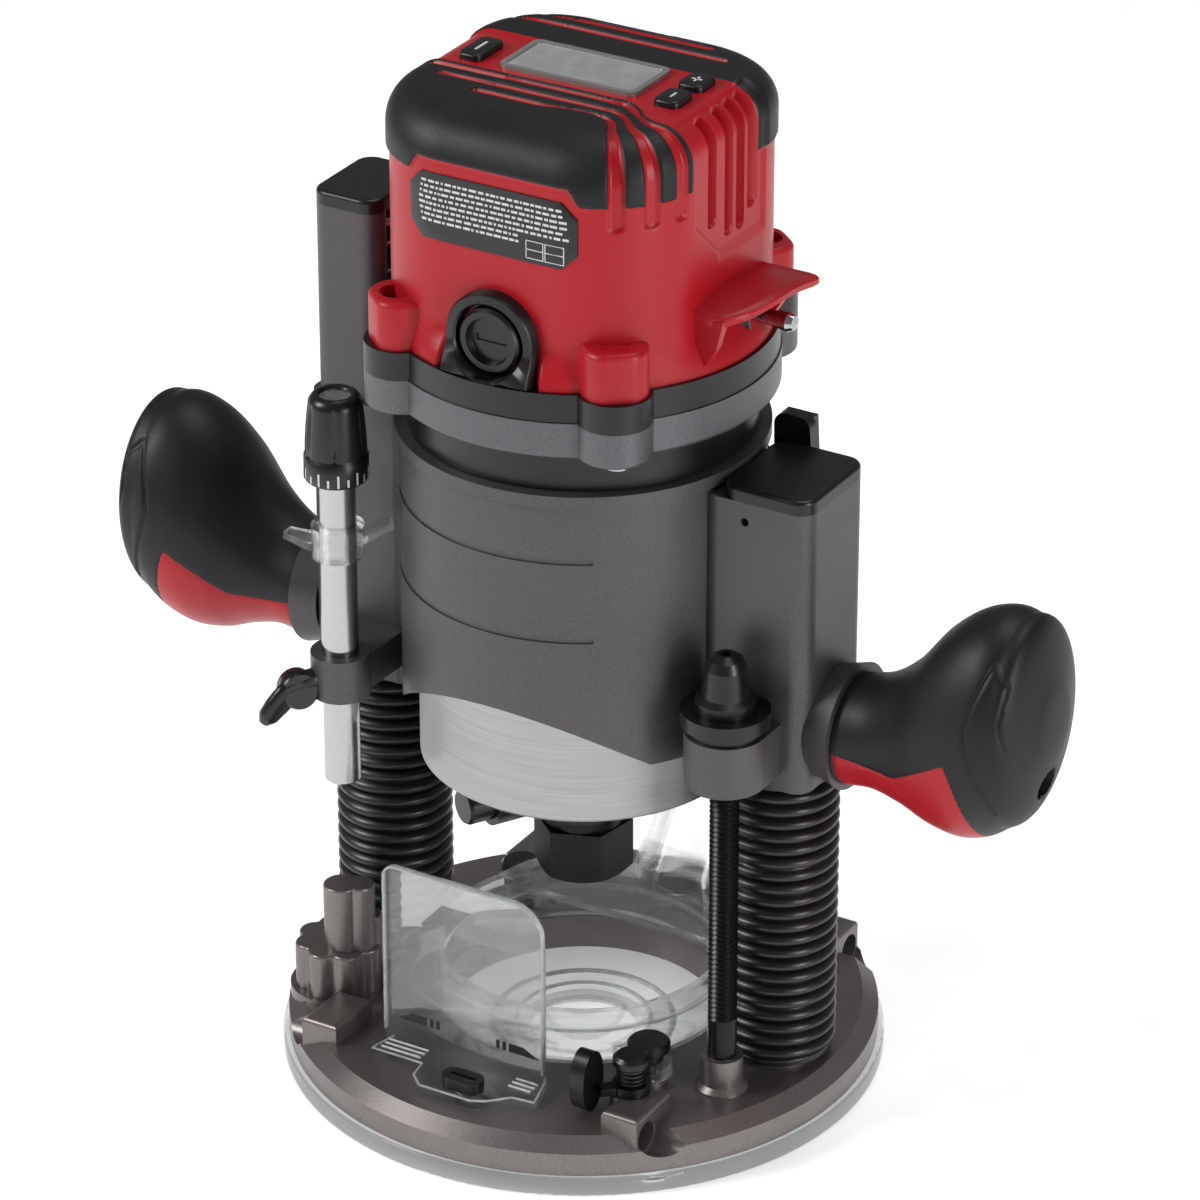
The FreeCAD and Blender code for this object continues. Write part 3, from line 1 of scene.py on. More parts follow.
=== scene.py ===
"""Looks of a plunge router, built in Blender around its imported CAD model.

Lengths are metres in the CAD frame: +Z up the spindle, -Y the operator's front.
"""
import json
import math
import bmesh
import bpy
import numpy as np
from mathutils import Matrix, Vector


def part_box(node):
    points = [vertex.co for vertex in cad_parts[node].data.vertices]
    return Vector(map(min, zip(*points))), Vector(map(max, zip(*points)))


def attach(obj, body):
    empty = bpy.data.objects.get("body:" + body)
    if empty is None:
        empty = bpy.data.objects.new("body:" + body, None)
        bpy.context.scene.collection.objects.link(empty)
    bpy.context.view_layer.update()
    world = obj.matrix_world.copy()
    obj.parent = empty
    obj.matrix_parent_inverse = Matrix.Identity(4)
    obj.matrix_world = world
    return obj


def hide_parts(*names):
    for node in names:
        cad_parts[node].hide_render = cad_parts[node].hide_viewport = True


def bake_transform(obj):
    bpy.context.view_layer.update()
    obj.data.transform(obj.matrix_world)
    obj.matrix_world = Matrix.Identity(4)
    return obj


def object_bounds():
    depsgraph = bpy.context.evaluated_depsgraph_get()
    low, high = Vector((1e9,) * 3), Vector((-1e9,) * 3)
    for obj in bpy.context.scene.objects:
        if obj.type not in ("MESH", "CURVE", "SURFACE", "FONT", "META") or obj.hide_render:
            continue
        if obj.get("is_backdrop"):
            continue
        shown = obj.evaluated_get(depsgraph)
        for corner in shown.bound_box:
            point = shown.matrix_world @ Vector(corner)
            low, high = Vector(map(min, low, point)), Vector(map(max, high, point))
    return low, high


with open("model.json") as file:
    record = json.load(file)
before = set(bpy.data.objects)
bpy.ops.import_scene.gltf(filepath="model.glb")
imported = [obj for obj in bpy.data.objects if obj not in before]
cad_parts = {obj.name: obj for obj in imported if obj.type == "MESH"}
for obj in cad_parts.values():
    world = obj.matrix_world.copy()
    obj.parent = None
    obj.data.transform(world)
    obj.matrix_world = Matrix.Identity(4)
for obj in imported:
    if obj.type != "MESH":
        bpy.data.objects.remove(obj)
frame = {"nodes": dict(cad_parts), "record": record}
cad_low, cad_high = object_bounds()
NODES = frame["nodes"]

MM = 0.001


# ---------------------------------------------------------------- materials

def linear(hex_colour):
    """The linear RGBA of an sRGB hex colour, by the standard two-part curve."""
    channels = [int(hex_colour[i:i + 2], 16) / 255 for i in (1, 3, 5)]
    return [c / 12.92 if c <= 0.04045 else ((c + 0.055) / 1.055) ** 2.4 for c in channels] + [1.0]


def add(tree, kind, inputs=(), **settings):
    """Adds a node. settings are its properties; inputs map a socket's name or number to a value or link."""
    node = tree.nodes.new("ShaderNode" + kind)
    for name, value in settings.items():
        setattr(node, name, value)
    for name, value in dict(inputs).items():
        if isinstance(value, bpy.types.NodeSocket):
            tree.links.new(value, node.inputs[name])
        else:
            node.inputs[name].default_value = value
    return node


# places of the Mix node's two colours and of its mixed colour
MIX_A, MIX_B, MIX_COLOUR = 6, 7, 2
GRAIN_DETAIL, MOTTLE_DETAIL = 2.0, 3.0
MOTTLE_MM = 25.0


def finish_of(name, colours, grain_mm, rough, bump_mm=0.0, stretch=(1, 1, 1), mottle=0.06, **surface):
    """A Principled finish whose colour goes between two shades by a noise of grain_mm, shaded slowly by
    a wider noise of MOTTLE_MM, with the roughness range rough and a bump of bump_mm from the same grain.
    surface gives the shader's own constant sockets, such as Metallic or IOR."""
    material = bpy.data.materials.new(name)
    material.use_nodes = True
    tree = material.node_tree
    shader = tree.nodes["Principled BSDF"]
    place = add(tree, "TexCoord").outputs["Object"]
    along = add(tree, "Mapping", {"Vector": place, "Scale": stretch}).outputs[0]
    grain = add(tree, "TexNoise", {"Vector": along, "Scale": 1 / (grain_mm * MM),
                                   "Detail": GRAIN_DETAIL}).outputs["Fac"]
    wide = add(tree, "TexNoise", {"Vector": place, "Scale": 1 / (MOTTLE_MM * MM),
                                  "Detail": MOTTLE_DETAIL}).outputs["Fac"]
    share = add(tree, "MapRange", {"Value": grain, "From Min": 0.3, "From Max": 0.7}).outputs[0]
    colour = add(tree, "Mix", {0: share, MIX_A: linear(colours[0]), MIX_B: linear(colours[1])},
                 data_type="RGBA").outputs[MIX_COLOUR]
    value = add(tree, "MapRange", {"Value": wide, "From Min": 0.3, "From Max": 0.7,
                                   "To Min": 1 - mottle, "To Max": 1 + mottle}).outputs[0]
    shaded = add(tree, "HueSaturation", {"Color": colour, "Value": value}).outputs[0]
    tree.links.new(shaded, shader.inputs["Base Color"])
    both = add(tree, "Math", {0: grain, 1: wide}, operation="MULTIPLY").outputs[0]
    gloss = add(tree, "MapRange", {"Value": both, "From Min": 0.12, "From Max": 0.42,
                                   "To Min": rough[0], "To Max": rough[1]}).outputs[0]
    tree.links.new(gloss, shader.inputs["Roughness"])
    if bump_mm:
        bump = add(tree, "Bump", {"Height": grain, "Distance": bump_mm * MM, "Strength": 1.0}).outputs[0]
        tree.links.new(bump, shader.inputs["Normal"])
    for socket, amount in surface.items():
        shader.inputs[socket.replace("_", " ")].default_value = amount
    return material


FINISHES = {
    # die-cast aluminium under a dark metallic powder coat: grey with a fine sparkle and orange peel
    "cast_grey": finish_of("powder_coated_die_casting", ("#4b484b", "#5a575a"), 0.5, (0.4, 0.52),
                           bump_mm=0.012, Metallic=0.55),
    # the same coat on the motor's flange, a shade lighter
    "flange_grey": finish_of("powder_coated_motor_flange", ("#57545a", "#676467"), 0.5, (0.36, 0.48),
                             bump_mm=0.012, Metallic=0.55),
    # die-cast aluminium under a warm satin metallic paint
    "cast_base": finish_of("satin_painted_base_casting", ("#706a69", "#827c7b"), 0.45, (0.3, 0.42),
                           bump_mm=0.01, Metallic=0.75),
    # turned and polished aluminium: fine rings round the axis that stretch its highlights
    "polished_aluminium": finish_of("turned_aluminium", ("#9a9a9b", "#a8a8a9"), 0.6, (0.3, 0.4),
                                    bump_mm=0.012, stretch=(0.02, 0.02, 1), Metallic=1.0),
    # glass-filled nylon moulded in a lightly spark-eroded tool: semi-gloss red
    "red_shell": finish_of("moulded_red_nylon", ("#a00d19", "#ab1722"), 0.4, (0.34, 0.46),
                           bump_mm=0.012, IOR=1.53, Specular_IOR_Level=0.3),
    # soft-touch thermoplastic rubber moulded over the nylon: dull, almost black
    "black_rubber": finish_of("soft_touch_rubber", ("#111113", "#19191b"), 0.45, (0.42, 0.56),
                              bump_mm=0.02, IOR=1.5, Specular_IOR_Level=0.3),
    # moulded black nylon: a soft gloss over a fine spark grain
    "black_plastic": finish_of("moulded_black_nylon", ("#0a0a0b", "#111113"), 0.4, (0.28, 0.4),
                               bump_mm=0.01, IOR=1.53, Specular_IOR_Level=0.4),
    # moulded nitrile rubber: black with a soft sheen on its folds
    "bellows_rubber": finish_of("moulded_nitrile_rubber", ("#0a0a0b", "#141415"), 0.8, (0.3, 0.42),
                                bump_mm=0.01, IOR=1.5),
    # injection-moulded acrylic: water clear and hard, with a few polishing marks
    "clear_acrylic": finish_of("clear_moulded_acrylic", ("#f2f5f6", "#fbfcfc"), 3.0, (0.01, 0.05),
                               IOR=1.49, Transmission_Weight=1.0, Alpha=0.55),
    # machined steel: bright grey with fine marks round the axis
    "steel": finish_of("machined_steel", ("#a2a2a4", "#b8b8b9"), 0.3, (0.2, 0.34),
                       bump_mm=0.004, stretch=(0.2, 0.2, 1), Metallic=1.0),
    # ground and hard-chromed bar: brighter and smoother than plain steel
    "chrome": finish_of("hard_chromed_bar", ("#adadaf", "#b5b5b6"), 0.3, (0.16, 0.22), mottle=0.02,
                        stretch=(0.2, 0.2, 1), Metallic=1.0),
    # black-oxidised steel: oily black with a grey shine
    "black_oxide": finish_of("black_oxide_steel", ("#1c1c1e", "#2c2c2e"), 0.5, (0.26, 0.4),
                             bump_mm=0.006, Metallic=0.8),
    # sintered bronze: a dull brown gold
    "bronze": finish_of("sintered_bronze", ("#8f6f3f", "#a98550"), 0.3, (0.35, 0.5),
                        bump_mm=0.01, Metallic=1.0),
    # reflective grey liquid-crystal panel under its window
    "display_glass": finish_of("grey_display_panel", ("#8f9190", "#9fa1a0"), 6.0, (0.12, 0.2), IOR=1.5,
                               Coat_Weight=1.0, Coat_Roughness=0.04),
    # moulded light plastic: pale and nearly matt
    "pale_plastic": finish_of("moulded_pale_plastic", ("#bdbdbb", "#cbcbc9"), 0.5, (0.35, 0.5),
                              bump_mm=0.01, IOR=1.5),
    # enamelled copper wire: dark copper in fine rows
    "copper_winding": finish_of("enamelled_copper_wire", ("#8a4a26", "#b5652f"), 0.7, (0.25, 0.4),
                                bump_mm=0.08, stretch=(1, 1, 0.1), Metallic=0.8),
    # pressed carbon: a dull black
    "carbon": finish_of("pressed_carbon", ("#1c1c1d", "#2b2b2c"), 0.3, (0.5, 0.7), bump_mm=0.01),
    # glass-fibre circuit board under solder resist: dark green with a soft gloss
    "board_green": finish_of("solder_resist_board", ("#0e4a26", "#17603a"), 1.2, (0.3, 0.45), IOR=1.5),
}

# rings left by turning and grinding stretch highlights along the axis
for turned in ("polished_aluminium", "chrome"):
    tree = FINISHES[turned].node_tree
    shader = tree.nodes["Principled BSDF"]
    rings = add(tree, "Tangent", direction_type="RADIAL", axis="Z").outputs[0]
    tree.links.new(rings, shader.inputs["Tangent"])
    shader.inputs["Anisotropic"].default_value = 0.9

for part in frame["record"]["subparts"]:
    skin = NODES[part["node"]].data.materials
    skin.clear()
    skin.append(FINISHES[part["material_slot"]])


# ---------------------------------------------------------------- mesh making

def box_mm(node):
    """Lowest and highest corner of a CAD node, in millimetres."""
    low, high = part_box(node)
    return np.array(low) / MM, np.array(high) / MM


WELD_MM = 0.002
SIDES = ((1, "right"), (-1, "left"))
UP = np.array([0, 0, 1.0])


def sheet_faces(rows, columns, first):
    """Quads of a grid of points numbered row by row from first, each row closed into a ring."""
    down = np.arange(rows - 1)[:, None]
    across = np.arange(columns)[None, :]
    beside = (across + 1) % columns
    corners = [down * columns + across, down * columns + beside,
               (down + 1) * columns + beside, (down + 1) * columns + across]
    return np.stack(corners, axis=-1).reshape(-1, 4) + first


def make_piece(name, sheets, finish, body, stands_for=(), crease=30, fields=None):
    """One closed piece from grids of points (rows, columns, 3) in millimetres. Doubles at seams and poles are
    merged and the faces turned outwards; edges sharper than crease degrees stay sharp. fields are named
    numbers on the first grid's points, kept as attributes for the finish."""
    points, faces, first = [], [], 0
    for grid in sheets:
        rows, columns = grid.shape[:2]
        points.append(grid.reshape(-1, 3))
        faces.append(sheet_faces(rows, columns, first))
        first += rows * columns
    mesh = bpy.data.meshes.new(name)
    mesh.from_pydata(np.concatenate(points) * MM, [], np.concatenate(faces))
    for field, values in (fields or {}).items():
        attribute = mesh.attributes.new(field, "FLOAT", "POINT")
        attribute.data.foreach_set("value", values.astype(np.float32).ravel())
    tidy = bmesh.new()
    tidy.from_mesh(mesh)
    bmesh.ops.remove_doubles(tidy, verts=tidy.verts, dist=WELD_MM * MM)
    bmesh.ops.recalc_face_normals(tidy, faces=tidy.faces)
    tidy.to_mesh(mesh)
    tidy.free()
    mesh.shade_smooth()
    mesh.set_sharp_from_angle(angle=math.radians(crease))
    mesh.materials.append(finish)
    obj = bpy.data.objects.new(name, mesh)
    bpy.context.scene.collection.objects.link(obj)
    if body:
        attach(obj, body)
    if stands_for:
        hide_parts(*stands_for)
    return obj


def ease(value):
    """0 below 0, 1 above 1, and a smooth rise between."""
    share = np.clip(value, 0, 1)
    return share * share * (3 - 2 * share)


def turned_about(profile, centre, axis=(0, 0, 1), count=96):
    """A profile of (radius, distance along the axis) turned full circle about the axis through centre."""
    axis = np.array(axis, float) / np.linalg.norm(axis)
    side = np.cross(axis, (0, 1, 0) if abs(axis[1]) < 0.9 else (1, 0, 0))
    side /= np.linalg.norm(side)
    other = np.cross(axis, side)
    angle = np.linspace(0, 2 * np.pi, count, endpoint=False)
    spoke = np.cos(angle)[:, None] * side + np.sin(angle)[:, None] * other
    radius, along = np.array(profile, float).T
    return np.array(centre) + radius[:, None, None] * spoke[None] + (along[:, None, None] * axis)


def rounded_outline(half_x, half_y, corner, steps=6):
    """Closed plan of a rectangle on the origin whose corners are arcs of the radius corner."""
    turn = np.concatenate([np.linspace(k, k + 1, steps) for k in range(4)]) * np.pi / 2
    quarter = np.repeat(np.arange(4), steps)
    sign_x, sign_y = np.array([1, -1, -1, 1])[quarter], np.array([1, 1, -1, -1])[quarter]
    return np.stack([sign_x * (half_x - corner) + corner * np.cos(turn),
                     sign_y * (half_y - corner) + corner * np.sin(turn)], axis=-1)


def prism(plan, low, high, edge):
    """Upright block on a closed plan round its own middle, with a round edge of the radius edge on top.
    Its rings go pole, bottom, wall, a quarter round drawn in towards the middle, pole."""
    middle = plan.mean(axis=0)
    reach = np.linalg.norm(plan - middle, axis=1).max()
    rounding = np.linspace(0, np.pi / 2, 5)
    shares = [0, 1] + list(1 - edge * (1 - np.cos(rounding)) / reach) + [0]
    heights = [low, low] + list(high - edge * (1 - np.sin(rounding))) + [high]
    rings = [np.column_stack([middle + (plan - middle) * share, np.full(len(plan), height)])
             for share, height in zip(shares, heights)]
    return np.array(rings)


def plate(outline, rows, place):
    """A flat outline made a closed plate. rows are (share, level) from pole to pole: each scales the
    outline about its middle by share, and place(spot, level) gives that ring's x, y and z."""
    middle = outline.mean(axis=0)
    return np.array([np.column_stack(np.broadcast_arrays(*place(middle + (outline - middle) * share, level)))
                     for share, level in rows])


def slab(outline, low, high, place):
    """A plate with plain sides from the level low to the level high."""
    return plate(outline, [(0, low), (1, low), (1, high), (0, high)], place)


# ---------------------------------------------------------------- upper housing

BAND = box_mm("gasket_band")
RUBBER = box_mm("front_overmould")
HOUSING_LOW = BAND[1][2]
HOUSING_TOP = RUBBER[1][2]
HOUSING_HALF = RUBBER[1][0]
HOUSING_CORNER = 28.0
SIDE_FLAT = HOUSING_HALF - HOUSING_CORNER
QUARTER_LENGTH = 2 * SIDE_FLAT + HOUSING_CORNER * np.pi / 2
FOOT_RADIUS = BAND[1][1] - 0.8


def soft_square(length, inset):
    """Plan of the housing: a square with round corners, drawn in by inset. length runs round it from the
    middle of the front towards +X. Each quarter is a flat and half a corner on either side of it; once the
    inset has used the corner up, the flats shorten. Returns points and outward normals."""
    quarter = np.round(length / QUARTER_LENGTH)
    along = length - quarter * QUARTER_LENGTH
    facing = (quarter - 1) * np.pi / 2
    out = np.stack([np.cos(facing), np.sin(facing)], axis=-1)
    side = np.stack([-np.sin(facing), np.cos(facing)], axis=-1)
    corner = np.maximum(HOUSING_CORNER - inset, 0)
    flat = HOUSING_HALF - inset - corner
    bend = np.maximum(np.abs(along) - SIDE_FLAT, 0) / HOUSING_CORNER
    lean = bend * np.sign(along)
    normal = np.cos(lean)[..., None] * out + np.sin(lean)[..., None] * side
    step = np.clip(along, -SIDE_FLAT, SIDE_FLAT) / SIDE_FLAT * flat
    return flat[..., None] * out + step[..., None] * side + corner[..., None] * normal, normal


FAR = 99.0
FRONT_EDGE, REAR_EDGE = -10.0, 15.0
FRONT_SKIRT, REAR_SKIRT = 16.0, 17.5
LABEL_ARCH = 4.5
RUBBER_RISE, SHELL_SINK = 0.9, 0.5
# each front groove is its line and its first x; each rear groove is its y, its first x and its last x
GROOVES = [(-12.2, -38.0), (-17.6, -32.0), (-23.2, -18.0)]
GROOVE_HALF, GROOVE_FOOT = 1.25, 267.5
GROOVE_DEPTH, GROOVE_FADE = 0.9, 0.6
REAR_GROOVES = [(26.0, -38.0, 27.0), (31.5, -30.0, 20.0), (36.5, -19.0, 5.0)]
REAR_GROOVE_HALF = 1.3
FAN_START, FAN_SPREAD = 34.2, 1.73
# each vent is its y and the z of its foot
VENTS = [(-8.2, 260.5), (0.4, 255.5), (6.6, 255.0), (12.2, 259.0)]
VENT_HALF, VENT_DEPTH = 1.9, 3.0
PANEL_FRONT, PANEL_REAR, PANEL_FOOT, PANEL_DEPTH = -17.5, 18.5, 249.5, 0.7
SIDE_X = 30
EDGE_RADIUS, EDGE_FULLNESS = 9.0, 5.0
TOP_INSET = 36.0
INNER_RADIUS, TOP_WALL = 40.3, 7.0
FOOT_NOTCH = 20.0
FLARE_HEIGHT, FLARE_START, FLARE_RUN = 11.0, 11.5, 3.0


def rib_line(x, y, length, inset):
    """The number that is constant along each rubber rib. On top it is y; towards the front right corner it
    turns into the distance round the wall, so that the ribs fan out and run down the corner."""
    wall = GROOVES[2][0] + (length - FAN_START) / FAN_SPREAD
    share = ease((HOUSING_CORNER - 2 - inset) / 14) * ease(x / 16) * ease(-y / 8)
    return y + (wall - y) * share


def capsule(across, along_low, along_high, half):
    """Signed distance outside a slot with round ends: across is the distance from its centre line, and
    along_low and along_high are how far the point lies past either end."""
    past = np.maximum(np.maximum(along_low, along_high), 0)
    return np.hypot(across, past) - half


def housing_fields(x, y, z, length, inset):
    """Signed distances in mm. rubber and panel are above zero inside; grooves and vents are below zero
    inside. The front skirt of the rubber rises over the label, and no groove is covered by rubber."""
    rib = rib_line(x, y, length, inset)
    arch = LABEL_ARCH * ease((26.0 - np.abs(x + 1.0)) / 4.0)
    front = np.minimum(FRONT_EDGE - rib, z - (HOUSING_TOP - FRONT_SKIRT + np.where(y < -30, arch, 0)))
    rear = np.minimum(y - REAR_EDGE, z - (HOUSING_TOP - REAR_SKIRT))
    grooves = np.full(x.shape, FAR)
    for line, start in GROOVES:
        grooves = np.minimum(grooves, capsule(rib - line, start - x, GROOVE_FOOT - z, GROOVE_HALF))
    for line, start, stop in REAR_GROOVES:
        grooves = np.minimum(grooves, capsule(y - line, start - x, x - stop, REAR_GROOVE_HALF))
    rubber = np.minimum(np.where(y < 2, front, rear), grooves)
    panel = np.minimum.reduce([y - PANEL_FRONT, PANEL_REAR - y, z - PANEL_FOOT, 7.5 - inset, x - SIDE_X,
                               ((y + 17) * 12 + (z - 261.5) * 13) / 17.7])
    vents = np.full(x.shape, FAR)
    for line, foot in VENTS:
        vents = np.minimum(vents, capsule(y - line, foot - z, inset - 5.5, VENT_HALF))
    return rubber, grooves, panel, np.where(x > SIDE_X, vents, FAR)


def housing_rows():
    """Rows of the shell as (part, share): inside pole, inner wall, foot, wall, quarter round, top, pole."""
    wall = np.concatenate([np.linspace(0, 0.5, 14, endpoint=False), np.linspace(0.5, 1, 52)])
    rows = [("inside_pole", 0), ("inside_top", 0), ("inside_foot", 0)]
    rows += [("wall", share) for share in wall]
    rows += [("round", share) for share in np.linspace(0, 1, 34)[1:]]
    rows += [("top", share) for share in np.linspace(0, 1, 84)[1:]]
    return rows + [("pole", 1)]


def housing_shell():
    """The housing: soft_square carried up a wall that flares to the round flange below, over a quarter
    round whose radius is larger front and rear, and in across the top, with a round bore inside. Rubber,
    grooves, panel and vents move it along its normal. Returns the grid and the rubber's field."""
    front_half = 2 * QUARTER_LENGTH
    length = np.concatenate([np.linspace(-0.5, 0.56, 300, endpoint=False) * front_half,
                             np.linspace(0.56, 1.5, 150, endpoint=False) * front_half])
    level = np.zeros(len(length))
    radius = EDGE_RADIUS + EDGE_FULLNESS * soft_square(length, level)[1][:, 1] ** 2
    wall_top = HOUSING_TOP - radius
    grids, fields = [], []
    for part, share in housing_rows():
        inside = part.startswith("inside")
        lean = np.pi / 2
        if part == "wall":
            lean = 0.0
            inset, height = level, HOUSING_LOW + share * (wall_top - HOUSING_LOW)
        elif part == "round":
            lean = share * np.pi / 2
            inset, height = radius * (1 - np.cos(lean)), HOUSING_TOP - radius * (1 - np.sin(lean))
        else:
            inset, height = radius + share * (TOP_INSET - radius), level + HOUSING_TOP
        plan, normal = soft_square(length, inset)
        beside = np.maximum(np.abs(plan[:, 0]), FOOT_NOTCH * (np.abs(plan[:, 1]) < 30))
        flare = (1 - ease((height - HOUSING_LOW) / FLARE_HEIGHT)) * ease((beside - FLARE_START) / FLARE_RUN)
        reach = np.linalg.norm(plan, axis=1, keepdims=True)
        plan = plan + (FOOT_RADIUS / reach - 1) * plan * (flare * (inset == 0))[:, None]
        if inside:
            plan = plan / np.linalg.norm(plan, axis=1, keepdims=True) * INNER_RADIUS
            height = level + (HOUSING_LOW if part == "inside_foot" else HOUSING_TOP - TOP_WALL)
        if part.endswith("pole"):
            plan = plan * 0
        rubber, groove, panel, vent = housing_fields(plan[:, 0], plan[:, 1], height, length, inset)
        groove_depth = GROOVE_DEPTH - GROOVE_FADE * ease((inset - 1) / 8)
        push = RUBBER_RISE * ease(rubber / 0.6 + 0.5) - SHELL_SINK
        push -= (groove_depth * ease(-groove / 0.6 + 0.3) + PANEL_DEPTH * ease(panel / 0.5)
                 + VENT_DEPTH * ease(-vent / 0.7 + 0.2))
        push = push * (not inside)
        out = np.column_stack([normal * np.cos(lean), np.full(len(length), np.sin(lean))])
        grids.append(np.column_stack([plan, height]) + out * push[:, None])
        fields.append(np.where(inside, -9.0, rubber))
    return np.array(grids), np.array(fields)


def two_colour_finish(name, field, under, over):
    """The finish over where the attribute field is above zero, and the finish under elsewhere, with a
    crisp edge between them. Both keep their own colour, gloss and grain."""
    material = over.copy()
    material.name = name
    tree = material.node_tree
    shader = tree.nodes["Principled BSDF"]
    reading = add(tree, "Attribute", attribute_name=field).outputs["Fac"]
    share = add(tree, "MapRange", {"Value": reading, "From Min": -0.05, "From Max": 0.05}).outputs[0]
    place = add(tree, "TexCoord").outputs["Object"]
    grain = add(tree, "TexNoise", {"Vector": place, "Scale": 1 / (under["grain"] * MM)}).outputs["Fac"]
    first, second = [linear(colour) for colour in under["colours"]]
    shade = add(tree, "Mix", {0: grain, MIX_A: first, MIX_B: second}, data_type="RGBA").outputs[MIX_COLOUR]
    for socket, low in (("Base Color", shade), ("Roughness", under["rough"])):
        high = shader.inputs[socket].links[0].from_socket
        kind = "RGBA" if socket == "Base Color" else "FLOAT"
        first, second, result = (MIX_A, MIX_B, MIX_COLOUR) if kind == "RGBA" else (2, 3, 0)
        mixed = add(tree, "Mix", {0: share, first: low, second: high}, data_type=kind).outputs[result]
        tree.links.new(mixed, shader.inputs[socket])
    return material


RED_NYLON = {"colours": ("#a00d19", "#ab1722"), "grain": 0.4, "rough": 0.36}
# red nylon with soft-touch rubber moulded over it: a glossier red meets a dull black at a crisp line
ribbed_shell, ribbed_grip = [two_colour_finish(name, "rubber", RED_NYLON, FINISHES["black_rubber"])
                             for name in ("red_nylon_with_rubber_overmould", "rubber_grip_with_red_insert")]

shell, rubber = housing_shell()
make_piece("ribbed_upper_shell", [shell], ribbed_shell, "motor",
           ("upper_housing", "front_overmould", "rear_overmould"), crease=60, fields={"rubber": rubber})


LOBE_REACH, LOBE_RISE, LOBE_ANGLE = 48.8, 13.5, 50.0
LOBE_HALF_LENGTH, LOBE_HALF_WIDTH, LOBE_CORNER, LOBE_EDGE = 9.0, 9.2, 5.5, 1.8
SCREW_OFFSET, SCREW_RADIUS = 2.6, 4.0
LOBES = [(LOBE_ANGLE, 5.0), (180 - LOBE_ANGLE, 5.0), (180 + LOBE_ANGLE, 5.0), (-LOBE_ANGLE, 0.3)]


def screw_lobe(angle, recess):
    """A screw tower beside the shell: a wedge-shaped plan with round corners and a round top edge, with a
    screw recess of that depth in its top. Rings go pole, foot, wall, top edge, rim, recess floor, pole."""
    turn = math.radians(angle)
    out = np.array([math.cos(turn), math.sin(turn)])
    side = np.array([-out[1], out[0]])
    plan = rounded_outline(LOBE_HALF_LENGTH, LOBE_HALF_WIDTH, LOBE_CORNER, 8)
    narrow = 1 - 0.18 * (plan[:, 0:1] / LOBE_HALF_LENGTH)
    plan = plan * np.concatenate([np.ones_like(narrow), narrow], axis=1)
    hole = np.arctan2(plan[:, 1], plan[:, 0])
    circle = np.column_stack([np.cos(hole), np.sin(hole)])
    rise = HOUSING_LOW + LOBE_RISE
    rounding = np.linspace(0, np.pi / 2, 6)
    walls = [(0, HOUSING_LOW), (1, HOUSING_LOW)]
    walls += [(1 - 0.2 * (1 - math.cos(t)), rise - LOBE_EDGE * (1 - math.sin(t))) for t in rounding]
    well = [(SCREW_RADIUS + 0.4, rise), (SCREW_RADIUS, rise - 0.2 * recess), (SCREW_RADIUS, rise - recess),
            (0, rise - recess)]
    centre = out * LOBE_REACH
    grids = []
    for middle, shape, rings in ((centre, plan, walls), (centre + out * SCREW_OFFSET, circle, well)):
        for share, height in rings:
            spot = middle + share * (shape[:, 0:1] * out + shape[:, 1:2] * side)
            grids.append(np.column_stack([spot, np.full(len(plan), height)]))
    return np.array(grids)


make_piece("shell_screw_lobes", [screw_lobe(angle, recess) for angle, recess in LOBES],
           FINISHES["red_shell"], "motor", crease=50)


BRUSH = box_mm("brush_caps")
BRUSH_Z = (BRUSH[0][2] + BRUSH[1][2]) / 2
ARCH_RADIUS = 13.2


def brush_surround(face):
    """Black surround of a brush cap: an arch-shaped plate that follows the shell, flat at its foot, with a
    raised rim and a stepped well round the cap. Rings are offsets of the arch, blended to circles inside."""
    turn = np.linspace(0, 2 * np.pi, 96, endpoint=False)
    round_part = np.stack([np.cos(turn), np.sin(turn)], axis=-1)
    arch = round_part * ARCH_RADIUS
    low = round_part[:, 1] < 0
    across = round_part[low, 0]
    arch[low, 0] = np.sign(across) * ARCH_RADIUS * np.minimum(np.abs(across) * 1.35, 1)
    arch[low, 1] = np.maximum(round_part[low, 1] * 15.0, HOUSING_LOW - BRUSH_Z)
    rings = [(arch, 0.0, 38.0), (arch, 1.0, 38.0), (arch, 1.0, 46.6), (arch, 0.96, 47.4),
             (round_part * 10.6, 1.0, 47.6), (round_part * 10.0, 1.0, 47.0), (round_part * 9.6, 1.0, 43.0),
             (round_part, 0.0, 43.0)]
    grids = []
    for shape, share, depth in rings:
        spot = shape * share
        bulge = 0.35 * (1 - (spot[:, 0] / ARCH_RADIUS) ** 2)
        foot = 3.2 * ease((HOUSING_LOW + 9 - (spot[:, 1] + BRUSH_Z)) / 9.0) if depth > 44 else 0
        grids.append(np.column_stack([spot[:, 0], face * (depth + bulge + foot), spot[:, 1] + BRUSH_Z]))
    return np.array(grids)


make_piece("brush_cap_surrounds", [brush_surround(-1), brush_surround(1)], FINISHES["black_plastic"],
           "motor", crease=40)


GUARD_FRONT, GUARD_REAR = -18.5, 18.8
GUARD_TOP, GUARD_ROOT, GUARD_THICK = 242.0, 41.5, 3.0


